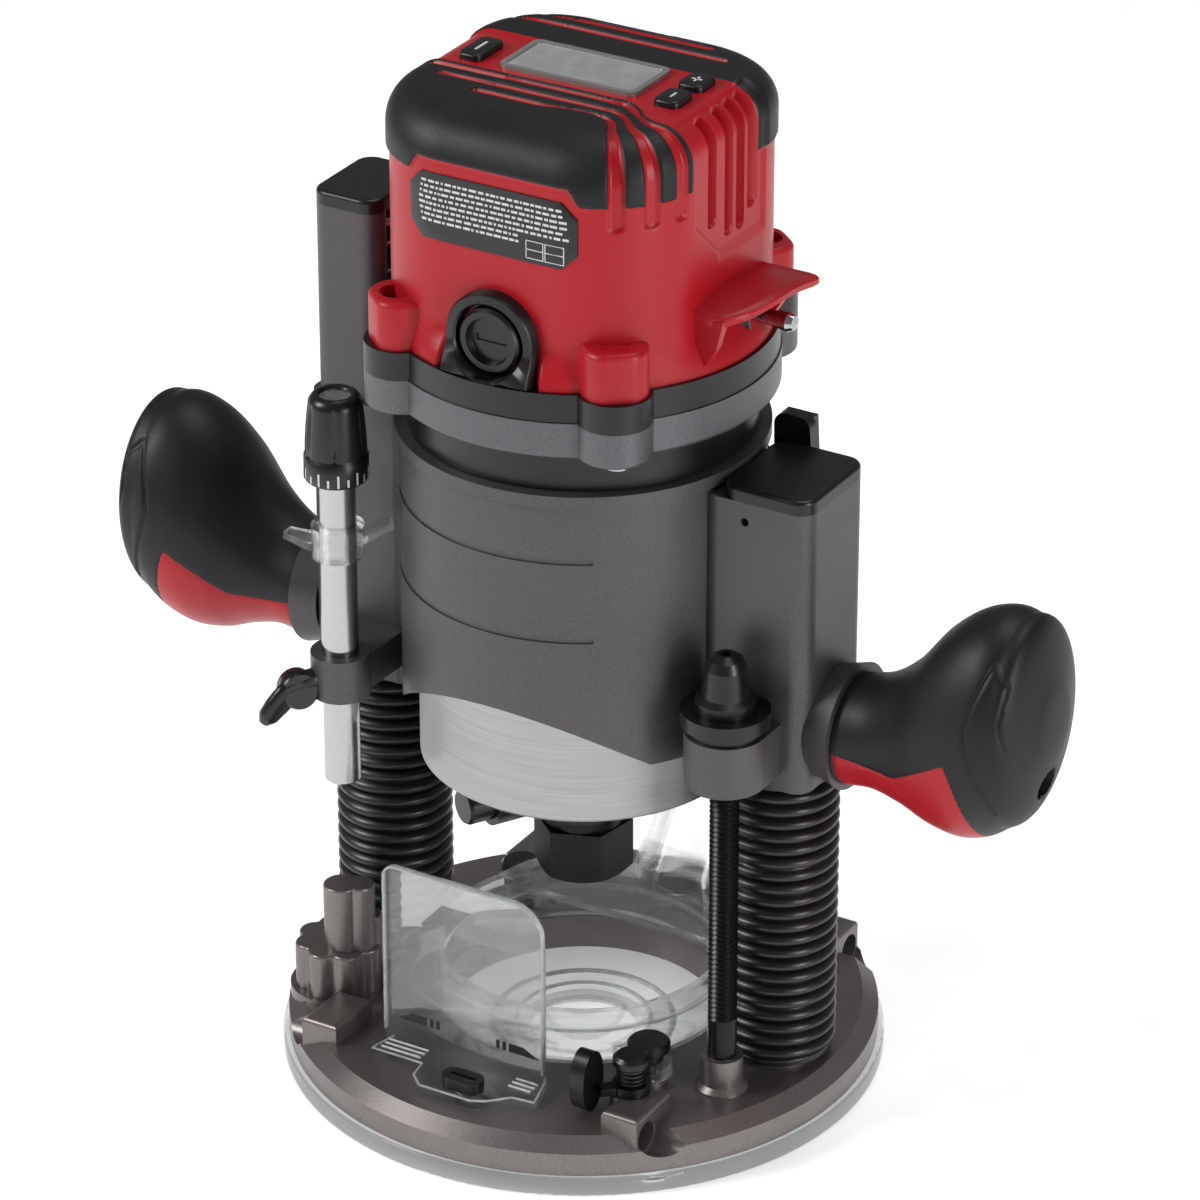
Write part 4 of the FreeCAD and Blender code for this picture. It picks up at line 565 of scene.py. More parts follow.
def guard_plate():
    """Guard over the toggle: a shelf that leaves the shell, swings out as a quarter ellipse from the front
    and runs back, crowned lengthways. Each station across it is the loop top edge, outer lip, underside."""
    along = np.linspace(0, 1, 60)
    y = GUARD_FRONT + (GUARD_REAR - GUARD_FRONT) * along
    reach = 4.0 + 11.8 * np.sqrt(np.clip(1 - (1 - np.clip(along / 0.55, 0, 1)) ** 2, 0, 1))
    crown = GUARD_TOP - 3.2 + 2.4 * np.sin(np.pi * np.clip(along * 1.05, 0, 1))
    out, rise = np.array([(0.0, 0.0), (0.85, 0.0), (0.95, -0.2), (1.0, -0.9), (1.0, -GUARD_THICK + 0.7),
                          (0.96, -GUARD_THICK + 0.1), (0.86, -GUARD_THICK), (0.0, -GUARD_THICK)]).T
    x = GUARD_ROOT + (reach[:, None] + 2.9) * out
    grid = np.stack(np.broadcast_arrays(x, y[:, None], crown[:, None] + rise), axis=-1)
    start, stop = [np.broadcast_to(end.mean(axis=0), end.shape) for end in (grid[0], grid[-1])]
    return np.concatenate([[start], grid, [stop]])


def guard_leg(y_low, y_high):
    """Upright gusset under one end of the guard: a triangle from the shelf down to the band, as thick as
    y_low to y_high, with eased edges."""
    outline = np.array([(GUARD_ROOT, 222.6), (46.0, 222.6), (49.0, 227.0), (50.5, 229.5), (52.0, 235.5),
                        (52.5, 238.0), (GUARD_ROOT, 238.0)])
    rows = [(0.0, y_low), (0.96, y_low), (1.0, y_low + 0.5), (1.0, y_high - 0.5), (0.96, y_high),
            (0.0, y_high)]
    return plate(outline, rows, lambda spot, y: (spot[:, 0], y, spot[:, 1]))


make_piece("switch_guard", [guard_plate(), guard_leg(GUARD_FRONT + 0.2, GUARD_FRONT + 3.2),
                            guard_leg(GUARD_REAR - 3.2, GUARD_REAR - 0.2)],
           FINISHES["red_shell"], "motor", crease=40)


LABEL_MIDDLE = (-1.0, 264.5)
LABEL_HALF = (25.0, 9.2)
LABEL_CUT = 4.2
LABEL_ROOT, LABEL_FACE, PRINT_ROOT, PRINT_FACE = 43.0, 44.4, 44.3, 44.47
PRINT_LINES, LINE_PITCH, DASH_HALF = 8, 1.55, 0.33
RULE_WIDTH = 0.22


def on_front(spot, depth):
    """Places (x, z) points on the front wall, depth from the axis: flat, then round at the corners."""
    x, z = spot.T
    past = np.maximum(np.abs(x) - SIDE_FLAT, 0)
    drop = HOUSING_CORNER - np.sqrt(HOUSING_CORNER ** 2 - past ** 2)
    return x, -(depth - drop), z


def label_plate():
    """Rating label: an octagon plate standing just off the shell's front. Rings are shares of the outline."""
    half_x, half_z = LABEL_HALF
    short_x, short_z = half_x - LABEL_CUT, half_z - LABEL_CUT
    corners = np.array([(half_x, short_z), (short_x, half_z), (-short_x, half_z), (-half_x, short_z),
                        (-half_x, -short_z), (-short_x, -half_z), (short_x, -half_z), (half_x, -short_z)])
    ends = np.roll(corners, -1, axis=0)
    steps = np.linspace(0, 1, 6, endpoint=False)[None, :, None]
    outline = (corners[:, None] * (1 - steps) + ends[:, None] * steps).reshape(-1, 2)
    rows = [(share, LABEL_ROOT) for share in (0.0, 0.5, 1.0)] + [(1.0, LABEL_FACE - 0.15)]
    rows += [(share, LABEL_FACE) for share in (0.985, 0.8, 0.6, 0.4, 0.2, 0.0)]
    return plate(outline + np.array(LABEL_MIDDLE), rows, on_front)


def label_marks():
    """Meaningless white dashes in lines, like small print seen from afar, and two ruled boxes below them.
    Each dash is a thin block; their lengths and gaps come from one seeded draw."""
    draw = np.random.default_rng(7)
    middle_x, middle_z = LABEL_MIDDLE
    blocks = []
    for line in range(PRINT_LINES):
        z = middle_z + 6.9 - LINE_PITCH * line
        x = middle_x - LABEL_HALF[0] + 3.2 + abs(line - 3.5) * 0.3
        while x < middle_x + LABEL_HALF[0] - 3.5 - (line > 5) * 14:
            width = draw.uniform(0.5, 2.2)
            blocks.append((x, x + width, z - DASH_HALF, z + DASH_HALF))
            x += width + draw.uniform(0.35, 0.7)
    for low_x, high_x in ((9.5, 14.5), (15.1, 20.4)):
        for z in (-8.0, -5.6, -3.2):
            blocks.append((low_x, high_x, middle_z + z, middle_z + z + RULE_WIDTH))
        for x in (low_x, high_x):
            blocks.append((x, x + RULE_WIDTH, middle_z - 8.0, middle_z - 3.0))
    low_x, high_x, low_z, high_z = np.array(blocks).T
    outlines = np.stack([[low_x, high_x, high_x, low_x], [low_z, low_z, high_z, high_z]], axis=-1)
    return [slab(outline, PRINT_ROOT, PRINT_FACE, on_front) for outline in outlines.swapaxes(0, 1)]


# printed vinyl: a smooth dark film with a low sheen and white ink
black_vinyl = finish_of("printed_black_vinyl", ("#0b0b0c", "#121213"), 0.8, (0.3, 0.4), IOR=1.5)
white_ink = finish_of("white_print", ("#b9b9b8", "#d6d6d4"), 0.5, (0.45, 0.6), IOR=1.5)
make_piece("rating_label", [label_plate()], black_vinyl, "motor")
make_piece("label_print", label_marks(), white_ink, "motor")


# ---------------------------------------------------------------- grips

GRIP = box_mm("right_grip")
GRIP_START = GRIP[0][0]
AXIS_Z = box_mm("plunge_casting")[0][2] + 16.0
GRIP_STATIONS = np.array([(0.0, 1.0, 15.3, 15.3), (9.0, 3.0, 16.2, 15.8), (18.0, 5.6, 20.8, 18.0),
                          (28.0, 10.0, 29.0, 21.5), (37.5, 13.2, 32.8, 23.4), (47.2, 16.2, 30.8, 22.8),
                          (54.4, 18.0, 24.0, 18.3), (57.8, 18.2, 11.0, 9.0)])


def smooth_through(knots, values, at):
    """Cubic through the knots whose slope at each is that between its neighbours."""
    slope = np.gradient(values, knots)
    index = np.clip(np.searchsorted(knots, at) - 1, 0, len(knots) - 2)
    span = knots[index + 1] - knots[index]
    t = (at - knots[index]) / span
    return ((2 * t ** 3 - 3 * t ** 2 + 1) * values[index] + (t ** 3 - 2 * t ** 2 + t) * span * slope[index]
            + (3 * t ** 2 - 2 * t ** 3) * values[index + 1] + (t ** 3 - t ** 2) * span * slope[index + 1])


def polygon_line(x, z, corners, half_width):
    """Signed distance outside an open line through corners, which is half_width thick on either side."""
    best = np.full(x.shape, FAR)
    for (x0, z0), (x1, z1) in zip(corners, corners[1:]):
        run, rise = x1 - x0, z1 - z0
        t = np.clip(((x - x0) * run + (z - z0) * rise) / (run * run + rise * rise), 0, 1)
        best = np.minimum(best, np.hypot(x - x0 - t * run, z - z0 - t * rise))
    return best - half_width


GRIP_LINES = [[(47.0, 39.0), (43.2, 27.0), (42.4, 22.0), (43.6, 16.0), (49.6, -2.5)],
              [(47.0, 39.0), (52.0, 34.5), (51.3, 25.0), (53.0, 17.5)]]
INSERT_EDGE = np.array([(0.0, 87.0), (10.0, 76.0), (19.7, 69.0), (30.0, 78.0), (37.0, 84.0), (44.0, 84.0)])
INSERT_END = 43.5
INSERT_ROUND = 6.5
WELL_RADIUS = 4.4


def grip_skin(side):
    """Bulb grip: elliptical rings strung outwards along X whose height, half height and half width follow
    smooth curves; fine line grooves are pressed into front and rear, and a bolt hole into the end."""
    last = GRIP_STATIONS[-1, 0]
    bend = np.linspace(0, 1, 120)
    along = last * np.sin(bend * np.pi / 2)
    around = np.linspace(0, 2 * np.pi, 200, endpoint=False)
    rise = smooth_through(GRIP_STATIONS[:, 0], GRIP_STATIONS[:, 1], along)[:, None]
    half_z = smooth_through(GRIP_STATIONS[:, 0], GRIP_STATIONS[:, 2], along)[:, None]
    half_y = smooth_through(GRIP_STATIONS[:, 0], GRIP_STATIONS[:, 3], along)[:, None]
    tall = rise + half_z * np.cos(around)[None]
    deep = half_y * np.sin(around)[None]
    x = np.broadcast_to(along[:, None], tall.shape)
    low = np.abs(np.arctan2(deep, -(tall - rise)))
    edge = np.radians(np.interp(x, *INSERT_EDGE.T)) * np.sqrt(np.clip((INSERT_END - x) / INSERT_ROUND, 0, 1))
    insert = np.minimum((edge - low) * 18, x - 0.6)
    lines = np.minimum(*[polygon_line(x, tall, line, 0.55) for line in GRIP_LINES])
    seam = np.abs(insert) - 0.35
    press = 0.55 * ease(-lines / 0.5 + 0.4) + 0.35 * ease(-seam / 0.35 + 0.4)
    out = np.stack([np.zeros_like(tall), deep / half_y ** 2, (tall - rise) / half_z ** 2], axis=-1)
    out /= np.maximum(np.linalg.norm(out, axis=-1, keepdims=True), 1e-9)
    skin = np.stack([side * (GRIP_START + x), deep, AXIS_Z + tall], axis=-1)
    skin -= out * press[..., None] * np.array([side, 1, 1])
    skin[..., 0] -= side * 9.0 * ease((WELL_RADIUS - np.hypot(deep, tall)) / 0.8) * (x > 40)
    first = np.broadcast_to(skin[0].mean(axis=0), skin[0].shape)
    end = skin[-1]
    middle = end.mean(axis=0)
    cap = [middle + (end - middle) * share + np.array([side * push, 0, 0])
           for share, push in ((0.8, 0.35), (0.5, 0.6), (0.25, 0.7), (0, 0.75))]
    grid = np.concatenate([[first], skin, np.array(cap)])
    field = np.full(grid.shape[:2], 9.0)
    field[1:1 + len(along)] = -insert
    return grid, field


for side, word in SIDES:
    skin, field = grip_skin(side)
    make_piece(word + "_bulb_grip", [skin], ribbed_grip, "carriage",
               (word + "_grip", word + "_grip_insert"), crease=50, fields={"rubber": field})


# ---------------------------------------------------------------- column bellows

BELLOWS = box_mm("bellows")
BELLOWS_RADIUS = (BELLOWS[1][1] - BELLOWS[0][1]) / 2
COLUMN_X = BELLOWS[1][0] - BELLOWS_RADIUS
FOLD_PITCH = 3.95
FOLD_DEPTH = 2.6
BELLOWS_WALL = 1.0


def bellows_sleeve(side):
    """Pleated sleeve round a column: its radius follows a rounded wave of one fold per pitch, sharp in the
    valleys and round on the crests, with plain cuffs at both ends, and an inner skin one wall inside."""
    low, high = BELLOWS[0][2], BELLOWS[1][2]
    folds = round((high - low - 4.0) / FOLD_PITCH)
    height = np.linspace(low, high, folds * 12 + 1)
    phase = (height - low - 2.0) / (high - low - 4.0) * folds
    wave = np.abs(np.sin(np.pi * phase)) ** 0.55
    cuff = ease((np.minimum(height - low, high - height) - 1.2) / 0.8)
    radius = BELLOWS_RADIUS - FOLD_DEPTH + FOLD_DEPTH * (wave * cuff + 0.5 * (1 - cuff))
    profile = list(zip(radius, height)) + list(zip((radius - BELLOWS_WALL)[::-1], height[::-1]))
    return turned_about(profile + profile[:1], (side * COLUMN_X, 0, 0))


for side, word in SIDES:
    sleeve = make_piece(word + "_bellows_sleeve", [bellows_sleeve(side)], FINISHES["bellows_rubber"],
                        None, ("bellows",), crease=60)
    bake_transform(sleeve)


# ---------------------------------------------------------------- display

# satin silver paint on the display's frame: pale grey, softly metallic
NODES["display_bezel"].data.materials[0] = finish_of(
    "satin_silver_bezel", ("#8d8d8c", "#a0a09f"), 0.4, (0.28, 0.4), bump_mm=0.005, Metallic=0.6)


# ---------------------------------------------------------------- depth stop

KNOB = box_mm("depth_knob")
ROD_X, ROD_Y = (KNOB[0] + KNOB[1])[:2] / 2
KNOB_LOW, KNOB_TOP = KNOB[0][2], KNOB[1][2]
DIAL_HEIGHT = 6.0
DRAWN_HEIGHT = 20.5


def knob_skin():
    """Depth knob: a dial ring, a step, and a body that tapers up with six shallow flutes to a round
    shoulder and a raised rim; a six-sided socket is sunk into its top. The foot is a level ring."""
    angle = np.linspace(0, 2 * np.pi, 144, endpoint=False)
    rows = [(0.0, 0.0, 0), (8.3, 0.0, 0), (8.75, 0.5, 0), (8.75, DIAL_HEIGHT - 0.3, 0),
            (8.45, DIAL_HEIGHT, 0), (8.3, DIAL_HEIGHT + 0.4, 0.5)]
    climb = np.linspace(0, 1, 12)
    rows += [(8.35 - 1.15 * t ** 1.6, DIAL_HEIGHT + 0.8 + t * 12.2, min(1.0, 6 * t, 5 * (1 - t)))
             for t in climb]
    rows += [(6.7, 19.6, 0), (6.0, 20.3, 0), (5.0, 20.5, 0), (4.4, 20.3, 0), (4.0, 19.6, 0)]
    rows = [(radius, rise * (KNOB_TOP - KNOB_LOW) / DRAWN_HEIGHT, flute) for radius, rise, flute in rows]
    flutes = np.cos(3 * angle) ** 24
    hexagon = 3.0 / np.cos((angle + np.pi / 6) % (np.pi / 3) - np.pi / 6)
    grid = []
    for radius, rise, flute in rows:
        ring = radius - 0.7 * flute * flutes
        grid.append(np.column_stack([ring * np.cos(angle), ring * np.sin(angle), angle * 0 + rise]))
    for share, rise in ((1.0, 19.2), (1.0, 15.0), (0.0, 15.0)):
        high = rise * (KNOB_TOP - KNOB_LOW) / DRAWN_HEIGHT
        grid.append(np.column_stack([share * hexagon * np.cos(angle), share * hexagon * np.sin(angle),
                                     angle * 0 + high]))
    return np.array(grid) + np.array([ROD_X, ROD_Y, KNOB_LOW])


def dial_ticks():
    """White marks round the dial: every second one long, each a thin plate proud of the ring."""
    sheets = []
    for index in range(20):
        angle = index * np.pi / 10
        tall = 3.6 if index % 2 else 2.2
        out, side = np.array([np.cos(angle), np.sin(angle), 0]), np.array([-np.sin(angle), np.cos(angle), 0])
        square = np.array([(-0.28, 0.7), (0.28, 0.7), (0.28, 0.7 + tall), (-0.28, 0.7 + tall)])
        mark = slab(square, 8.6, 8.79,
                    lambda spot, depth: (out * depth + spot[:, :1] * side + spot[:, 1:] * UP).T)
        sheets.append(mark + np.array([ROD_X, ROD_Y, KNOB_LOW]))
    return sheets


make_piece("fluted_depth_knob", [knob_skin()], FINISHES["black_plastic"], "depth_dial",
           ("depth_knob",), crease=40)
make_piece("depth_dial_ticks", dial_ticks(), white_ink, "depth_dial")


def strung(path, wide, thick, across, count=32):
    """A closed body of oval sections strung along a path: wide is each half width along across, thick
    each half thickness, and both ends close to a point."""
    path = np.array(path, float)
    run = np.gradient(path, axis=0)
    run /= np.linalg.norm(run, axis=1, keepdims=True)
    side = across - (run @ across)[:, None] * run
    side /= np.linalg.norm(side, axis=1, keepdims=True)
    up = np.cross(run, side)
    angle = np.linspace(0, 2 * np.pi, count, endpoint=False)
    rings = (path[:, None] + np.array(wide)[:, None, None] * np.cos(angle)[None, :, None] * side[:, None]
             + np.array(thick)[:, None, None] * np.sin(angle)[None, :, None] * up[:, None])
    first = np.broadcast_to(path[:1, None], rings[:1].shape)
    last = np.broadcast_to(path[-1:, None], rings[:1].shape)
    return np.concatenate([first, rings, last])


LOCK = box_mm("depth_lock_screw")


def lock_lever():
    """Blade of the depth lock lever: a neck, a blade that widens and narrows again, and a rounded tip. Its
    sections are ovals strung along a line that bends down and out from the bracket."""
    start = np.array([LOCK[1][0], LOCK[1][1], LOCK[1][2] - 6.0])
    stop = np.array([LOCK[0][0] + 3, LOCK[0][1] + 3, LOCK[0][2] + 3.2])
    t = np.linspace(0, 1, 40)
    path = start + (stop - start) * t[:, None] + np.array([0, 0, 3.6]) * np.sin(np.pi * t)[:, None]
    stations = [0, 0.05, 0.25, 0.4, 0.62, 0.8, 0.93, 1]
    wide = np.interp(t, stations, [1.8, 2.6, 3.0, 3.4, 5.2, 4.6, 3.6, 1.6])
    thick = np.interp(t, stations, [1.8, 2.6, 3.0, 2.9, 2.6, 2.7, 2.5, 1.2])
    return strung(path, wide, thick, np.array([0.3, -0.25, 0.92]))


def lock_hub():
    """Round hub of the lock lever: a short turned barrel with eased edges across the screw's axis."""
    middle = np.array([LOCK[0][0] + 9.5, LOCK[0][1] + 10.5, LOCK[0][2] + 12.2])
    profile = [(0, -3.2), (4.6, -3.2), (5.3, -2.5), (5.3, 2.5), (4.6, 3.2), (0, 3.2)]
    return turned_about(profile, middle, (0.75, -0.62, 0.2), 48)


make_piece("depth_lock_lever", [lock_lever(), lock_hub()], FINISHES["black_plastic"], "depth_lock",
           ("depth_lock_screw",), crease=45)


# ---------------------------------------------------------------- shield and hood

SHIELD = box_mm("chip_shield")
SHIELD_FACE = SHIELD[1][1] - 2.0
INK_DEPTH = 0.12


def face_mark(outline):
    """A thin ink plate on the shield's front: the (x, z) outline standing INK_DEPTH proud of it."""
    return slab(np.array(outline, float), 0.05, -INK_DEPTH,
                lambda spot, depth: (spot[:, 0], SHIELD_FACE + depth, spot[:, 1]))


ARROW_LOW, ARROW_TOP = 25.5, 28.1
ARROW_LENGTH, ARROW_SLANT = 13.5, 5.0


def arrow_marks():
    """Printed arrows either side of the shield: two short bars and a tapered point, one aimed each way."""
    sheets = []
    for tail, way in ((-13.5, -1), (4.5, 1)):
        for start, stop in ((0.0, 1.1), (2.0, 3.1)):
            a, b = sorted((tail + way * start, tail + way * stop))
            sheets.append(face_mark([(a, ARROW_LOW), (b, ARROW_LOW), (b, ARROW_TOP), (a, ARROW_TOP)]))
        a, b = tail + way * 4.0, tail + way * ARROW_LENGTH
        sheets.append(face_mark([(a, ARROW_LOW), (b, ARROW_LOW), (b - way * ARROW_SLANT, ARROW_TOP),
                                 (a, ARROW_TOP)]))
    return sheets


# printed black ink: flat black
black_ink = finish_of("black_print", ("#101011", "#1a1a1b"), 0.5, (0.45, 0.6), IOR=1.5)
make_piece("shield_arrows", arrow_marks(), black_ink, "shield")


RIM_FOOT = 21.0


def shield_rim_highlight():
    """Painted highlight on the shield's polished edge: a thin pale bead along its sides and top, round the
    two top corners.
    """
    low_x, high_x, top = SHIELD[0][0], SHIELD[1][0] - 3.0, SHIELD[1][2]
    left, right = 4.0, 10.0
    turn = np.linspace(0, np.pi / 2, 16)
    path = [(low_x, RIM_FOOT)]
    path += [(low_x + left * (1 - np.cos(t)), top - left * (1 - np.sin(t))) for t in turn]
    path += [(high_x - right * (1 - np.sin(t)), top - right * (1 - np.cos(t))) for t in turn]
    path += [(high_x, RIM_FOOT)]
    points = np.array([(x, SHIELD_FACE + 1.0, z) for x, z in path])
    points[:, 0] = np.clip(points[:, 0], low_x + 0.35, high_x - 0.35)
    points[:, 2] -= 0.35
    size = np.full(len(points), 0.34)
    return strung(points, size * 2.8, size, np.array([0.0, 1.0, 0.0]), 12)


# polished acrylic edge: a pale colour painted on as the highlight of the light gathered in the edge, so it
# reads as a pale line
painted_edge_highlight = finish_of("acrylic_edge_painted_highlight", ("#c6cacb", "#e2e5e6"), 2.0, (0.05, 0.15), IOR=1.49,
                         Transmission_Weight=0.25)
FOOT_BACK, FOOT_STEP, FOOT_TONGUE = SHIELD_FACE + 1.5, SHIELD_FACE - 9.0, SHIELD[0][1]
FOOT_LEFT, FOOT_RIGHT = SHIELD[0][0], SHIELD[1][0]
FOOT_LEVEL = SHIELD[0][2] + 2.1


def foot_edge_highlights():
    """Painted highlights on the edges of the shield's slotted foot and of the three ridges on either side of
    its tongue: pale beads along them.
    """
    outline = [(FOOT_RIGHT - 3.0, FOOT_BACK), (FOOT_RIGHT - 0.5, FOOT_STEP + 0.4), (15.0, FOOT_STEP - 0.4),
               (10.0, FOOT_TONGUE + 2.4), (6.0, FOOT_TONGUE + 0.5), (-10.0, FOOT_TONGUE + 0.5),
               (-14.0, FOOT_TONGUE + 4.3), (-15.0, FOOT_STEP + 2.3), (FOOT_LEFT + 0.5, FOOT_STEP + 2.3),
               (FOOT_LEFT + 2.2, FOOT_BACK)]
    beads = []
    for first, last in zip(outline, outline[1:]):
        beads.append(((*first, FOOT_LEVEL), (*last, FOOT_LEVEL), 0.3))
    for index in range(3):
        y = FOOT_STEP + 3.0 + 2.0 * index
        beads.append(((FOOT_LEFT + 3.0, y, FOOT_LEVEL + 1.05), (-16.0, y, FOOT_LEVEL + 1.05), 0.38))
        beads.append(((12.0, y, FOOT_LEVEL + 1.05), (FOOT_RIGHT - 3.2, y, FOOT_LEVEL + 1.05), 0.38))
    return [strung(np.linspace(first, last, 3), [girth] * 3, [girth] * 3, UP, 8)
            for first, last, girth in beads]


# pale beads painted as highlights where the clear shield's edges catch light
make_piece("shield_edge_painted_highlight", [shield_rim_highlight()] + foot_edge_highlights(), painted_edge_highlight, "shield",
           crease=50)

SUB_BASE_TOP = box_mm("sub_base")[1][2]
HOOD_RIM_RADIUS = 39.0
HOOD_RIM_HEIGHT = 25.1


def hood_highlight_ring(radius, height, girth):
    """A painted highlight round the bore of the hood: a pale half-round bead of that girth, turned full
    circle.
    """
    turn = np.linspace(0, 2 * np.pi, 17)
    return turned_about(np.column_stack([radius + girth * np.cos(turn), height + 0.8 * girth * np.sin(turn)]),
                        (0, 0, 0))


# pale rings painted as highlights on the bore edges of the clear hood and sub-base
make_piece("hood_bore_painted_highlights", [hood_highlight_ring(HOOD_RIM_RADIUS, HOOD_RIM_HEIGHT, 0.5),
                               hood_highlight_ring(25.0, SUB_BASE_TOP, 0.9), hood_highlight_ring(18.6, SUB_BASE_TOP, 0.7)],
           painted_edge_highlight, "base", crease=60)


# ---------------------------------------------------------------- signs

def top_mark(low_x, high_x, low_y, high_y, height):
    """A thin printed bar lying on a level top at that height."""
    plan = np.array([(low_x, low_y), (high_x, low_y), (high_x, high_y), (low_x, high_y)])
    return slab(plan, height - 0.05, height + 0.1, lambda spot, level: (*spot.T, level))


KEY_SIGNS = {"plus": [(1.5, 0.3), (0.3, 1.5)], "minus": [(0.3, 1.5)], "select": [(0.35, 3.0)]}
KEY_DROP = 0.2

for key, bars in KEY_SIGNS.items():
    low, high = box_mm(key + "_button")
    half_x, half_y = (high - low)[:2] / 2
    middle = (low + high)[:2] / 2
    top = high[2] - KEY_DROP
    cap = prism(rounded_outline(half_x, half_y, 2.0) + middle, low[2], top, 0.8)
    make_piece(key + "_key_cap", [cap], FINISHES["black_plastic"], key,
               (key + "_button",), crease=50)
    signs = [top_mark(middle[0] - half_x, middle[0] + half_x, middle[1] - half_y, middle[1] + half_y, top)
             for half_x, half_y in bars]
    make_piece(key + "_key_sign", signs, white_ink, key)


# ---------------------------------------------------------------- plunge springs

SPRING = box_mm("plunge_springs")
SPRING_LOW = SPRING[0][2]
SPRING_RADIUS = SPRING[1][1] - 0.9
WIRE_RADIUS = 0.8
SPRING_TURNS = 30


def spring_top(side):
    """Highest point of the CAD springs on one side of the spindle, in millimetres."""
    mesh = NODES["plunge_springs"].data
    points = np.empty(len(mesh.vertices) * 3)
    mesh.vertices.foreach_get("co", points)
    points = points.reshape(-1, 3) / MM
    return points[points[:, 0] * side > 0, 2].max()


def spring_coil(side, high):
    """Coil spring in a column: a wire strung along a helix, with a closed turn at each end."""
    t = np.linspace(0, 1, SPRING_TURNS * 28 + 1)
    closed = 1.5 / SPRING_TURNS
    climb = np.interp(t, [0, closed, 1 - closed, 1], [0, 0.008, 0.992, 1])
    angle = 2 * np.pi * SPRING_TURNS * t
    height = SPRING_LOW + WIRE_RADIUS + climb * (high - SPRING_LOW - 2 * WIRE_RADIUS)
    path = np.column_stack([side * COLUMN_X + SPRING_RADIUS * np.cos(angle), SPRING_RADIUS * np.sin(angle),
                            height])
    girth = np.full(len(path), WIRE_RADIUS)
    return strung(path, girth, girth, UP, 8)


for side, word in SIDES:
    high = spring_top(side)
    coil = make_piece(word + "_plunge_spring", [spring_coil(side, high)], FINISHES["steel"], None,
                      ("plunge_springs",), crease=60)
    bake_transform(coil)


# ---------------------------------------------------------------- depth-stop turret

TURRET = box_mm("stop_turret")
TURRET_MIDDLE = ((TURRET[0] + TURRET[1]) / 2)[:2]
TURRET_RADIUS = (TURRET[1][0] - TURRET[0][0]) / 2
TURRET_DISC = 13.5
LOBE_COUNT = 8
LOBE_RADIUS = 4.2


def round_union(circles, middle, count=160):
    """Plan of a union of circles (x, y, radius), seen from middle: each ray keeps its farthest crossing."""
    angle = np.linspace(0, 2 * np.pi, count, endpoint=False)
    ray = np.stack([np.cos(angle), np.sin(angle)], axis=-1)
    reach = np.zeros(count)
    for x, y, radius in circles:
        offset = np.array([x, y]) - middle
        along = ray @ offset
        under = radius ** 2 - (offset @ offset - along ** 2)
        reach = np.maximum(reach, np.where(under > 0, along + np.sqrt(np.maximum(under, 0)), 0))
    return middle + ray * reach[:, None]


def turret_sheets():
    """Stop turret: a disc with round lobes, a tall double post under the depth rod and two lower posts,
    each an upright block with an eased top edge."""
    low, top = TURRET[0][2], TURRET[1][2]
    seat = low + TURRET_DISC
    spin = np.radians(360 / LOBE_COUNT * np.arange(LOBE_COUNT))
    ring = TURRET_MIDDLE + (TURRET_RADIUS - LOBE_RADIUS) * np.column_stack([np.cos(spin), np.sin(spin)])
    lobes = [(x, y, LOBE_RADIUS) for x, y in ring] + [(*TURRET_MIDDLE, TURRET_RADIUS - 1.6)]
    tall = np.array([ROD_X - 1.6, ROD_Y + 0.2])
    second = tall + np.array([4.4, 2.6])
    sheets = [prism(round_union(lobes, TURRET_MIDDLE), low, seat, 0.8),
              prism(round_union([(*tall, 5.0), (*second, 4.2)], (tall + second) / 2), seat - 1, top, 0.7)]
    for angle, drop in ((20.0, 11.0), (100.0, 14.5)):
        turn = math.radians(angle)
        spot = TURRET_MIDDLE + 8.2 * np.array([math.cos(turn), math.sin(turn)])
        sheets.append(prism(round_union([(*spot, 3.9)], spot, 48), seat - 1, top - drop, 0.6))
    return sheets


make_piece("lobed_stop_turret", turret_sheets(), FINISHES["cast_base"], "turret",
           ("stop_turret",), crease=40)


# ---------------------------------------------------------------- studio

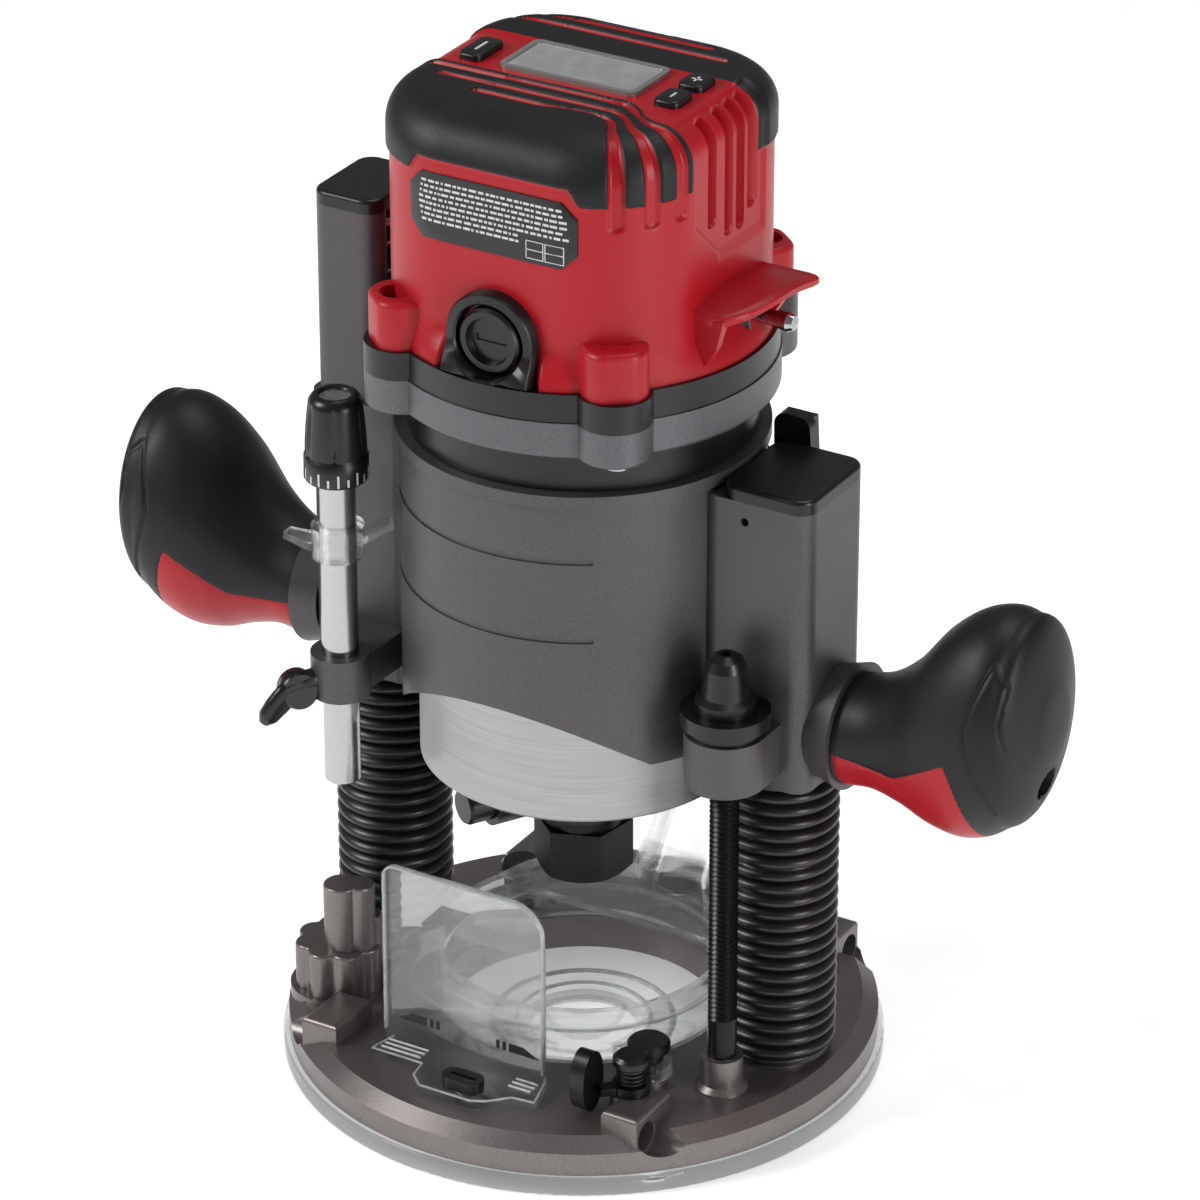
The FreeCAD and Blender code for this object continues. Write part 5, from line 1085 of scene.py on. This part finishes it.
def camera_at(azimuth, elevation, distance, aim, lens):
    """A camera on the ray from aim at azimuth and elevation (degrees), looking back along it."""
    a, e = math.radians(azimuth), math.radians(elevation)
    back = Vector((math.sin(a) * math.cos(e), -math.cos(a) * math.cos(e), math.sin(e)))
    data = bpy.data.cameras.new("camera")
    data.lens = lens
    data.sensor_width = 36
    data.clip_end = 20
    obj = bpy.data.objects.new("camera", data)
    obj.location = aim + back * distance
    obj.rotation_mode = "QUATERNION"
    obj.rotation_quaternion = back.to_track_quat("Z", "Y")
    bpy.context.scene.collection.objects.link(obj)
    bpy.context.scene.camera = obj


def softbox(name, place, aim, width, height, power):
    """A rectangular area light at place, facing aim."""
    data = bpy.data.lights.new(name, "AREA")
    data.shape = "RECTANGLE"
    data.size, data.size_y = width, height
    data.energy = power
    obj = bpy.data.objects.new(name, data)
    obj.location = place
    obj.rotation_mode = "QUATERNION"
    obj.rotation_quaternion = (Vector(place) - Vector(aim)).to_track_quat("Z", "Y")
    bpy.context.scene.collection.objects.link(obj)


VIEW_AZIMUTH, VIEW_ELEVATION = 30.5, 27.3
VIEW_DISTANCE, VIEW_LENS = 1.631, 181.8
AIM_ACROSS = 0.0045
AIM_HEIGHT = 0.1365
turn = math.radians(VIEW_AZIMUTH)
camera_at(VIEW_AZIMUTH, VIEW_ELEVATION, VIEW_DISTANCE,
          Vector((math.cos(turn) * AIM_ACROSS, math.sin(turn) * AIM_ACROSS, AIM_HEIGHT)), VIEW_LENS)

FLOOR_SPAN = 6.0
bpy.ops.mesh.primitive_plane_add(size=FLOOR_SPAN, location=(0, 0, cad_low.z - 0.0002))
floor = bpy.context.object
floor.name = "floor"
floor.data.materials.append(finish_of("matt_white_paper", ("#f2f2f2", "#f6f6f6"), 2.0, (0.8, 0.9),
                                     Emission_Color=(1, 1, 1, 1), Emission_Strength=0.5))
floor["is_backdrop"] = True

world = bpy.data.worlds.new("studio")
world.use_nodes = True
world.node_tree.nodes["Background"].inputs["Color"].default_value = linear("#ffffff")
world.node_tree.nodes["Background"].inputs["Strength"].default_value = 0.2
bpy.context.scene.world = world

MIDDLE = (0, 0, 0.14)
softbox("key_softbox", (-0.9, -0.75, 0.95), MIDDLE, 0.45, 0.6, 13)
softbox("right_strip", (1.2, -0.35, 0.45), MIDDLE, 0.2, 0.8, 8)
softbox("top_softbox", (0.1, 0.3, 1.4), MIDDLE, 0.7, 0.7, 5)

bpy.context.scene.view_settings.view_transform = "Standard"

low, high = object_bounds()
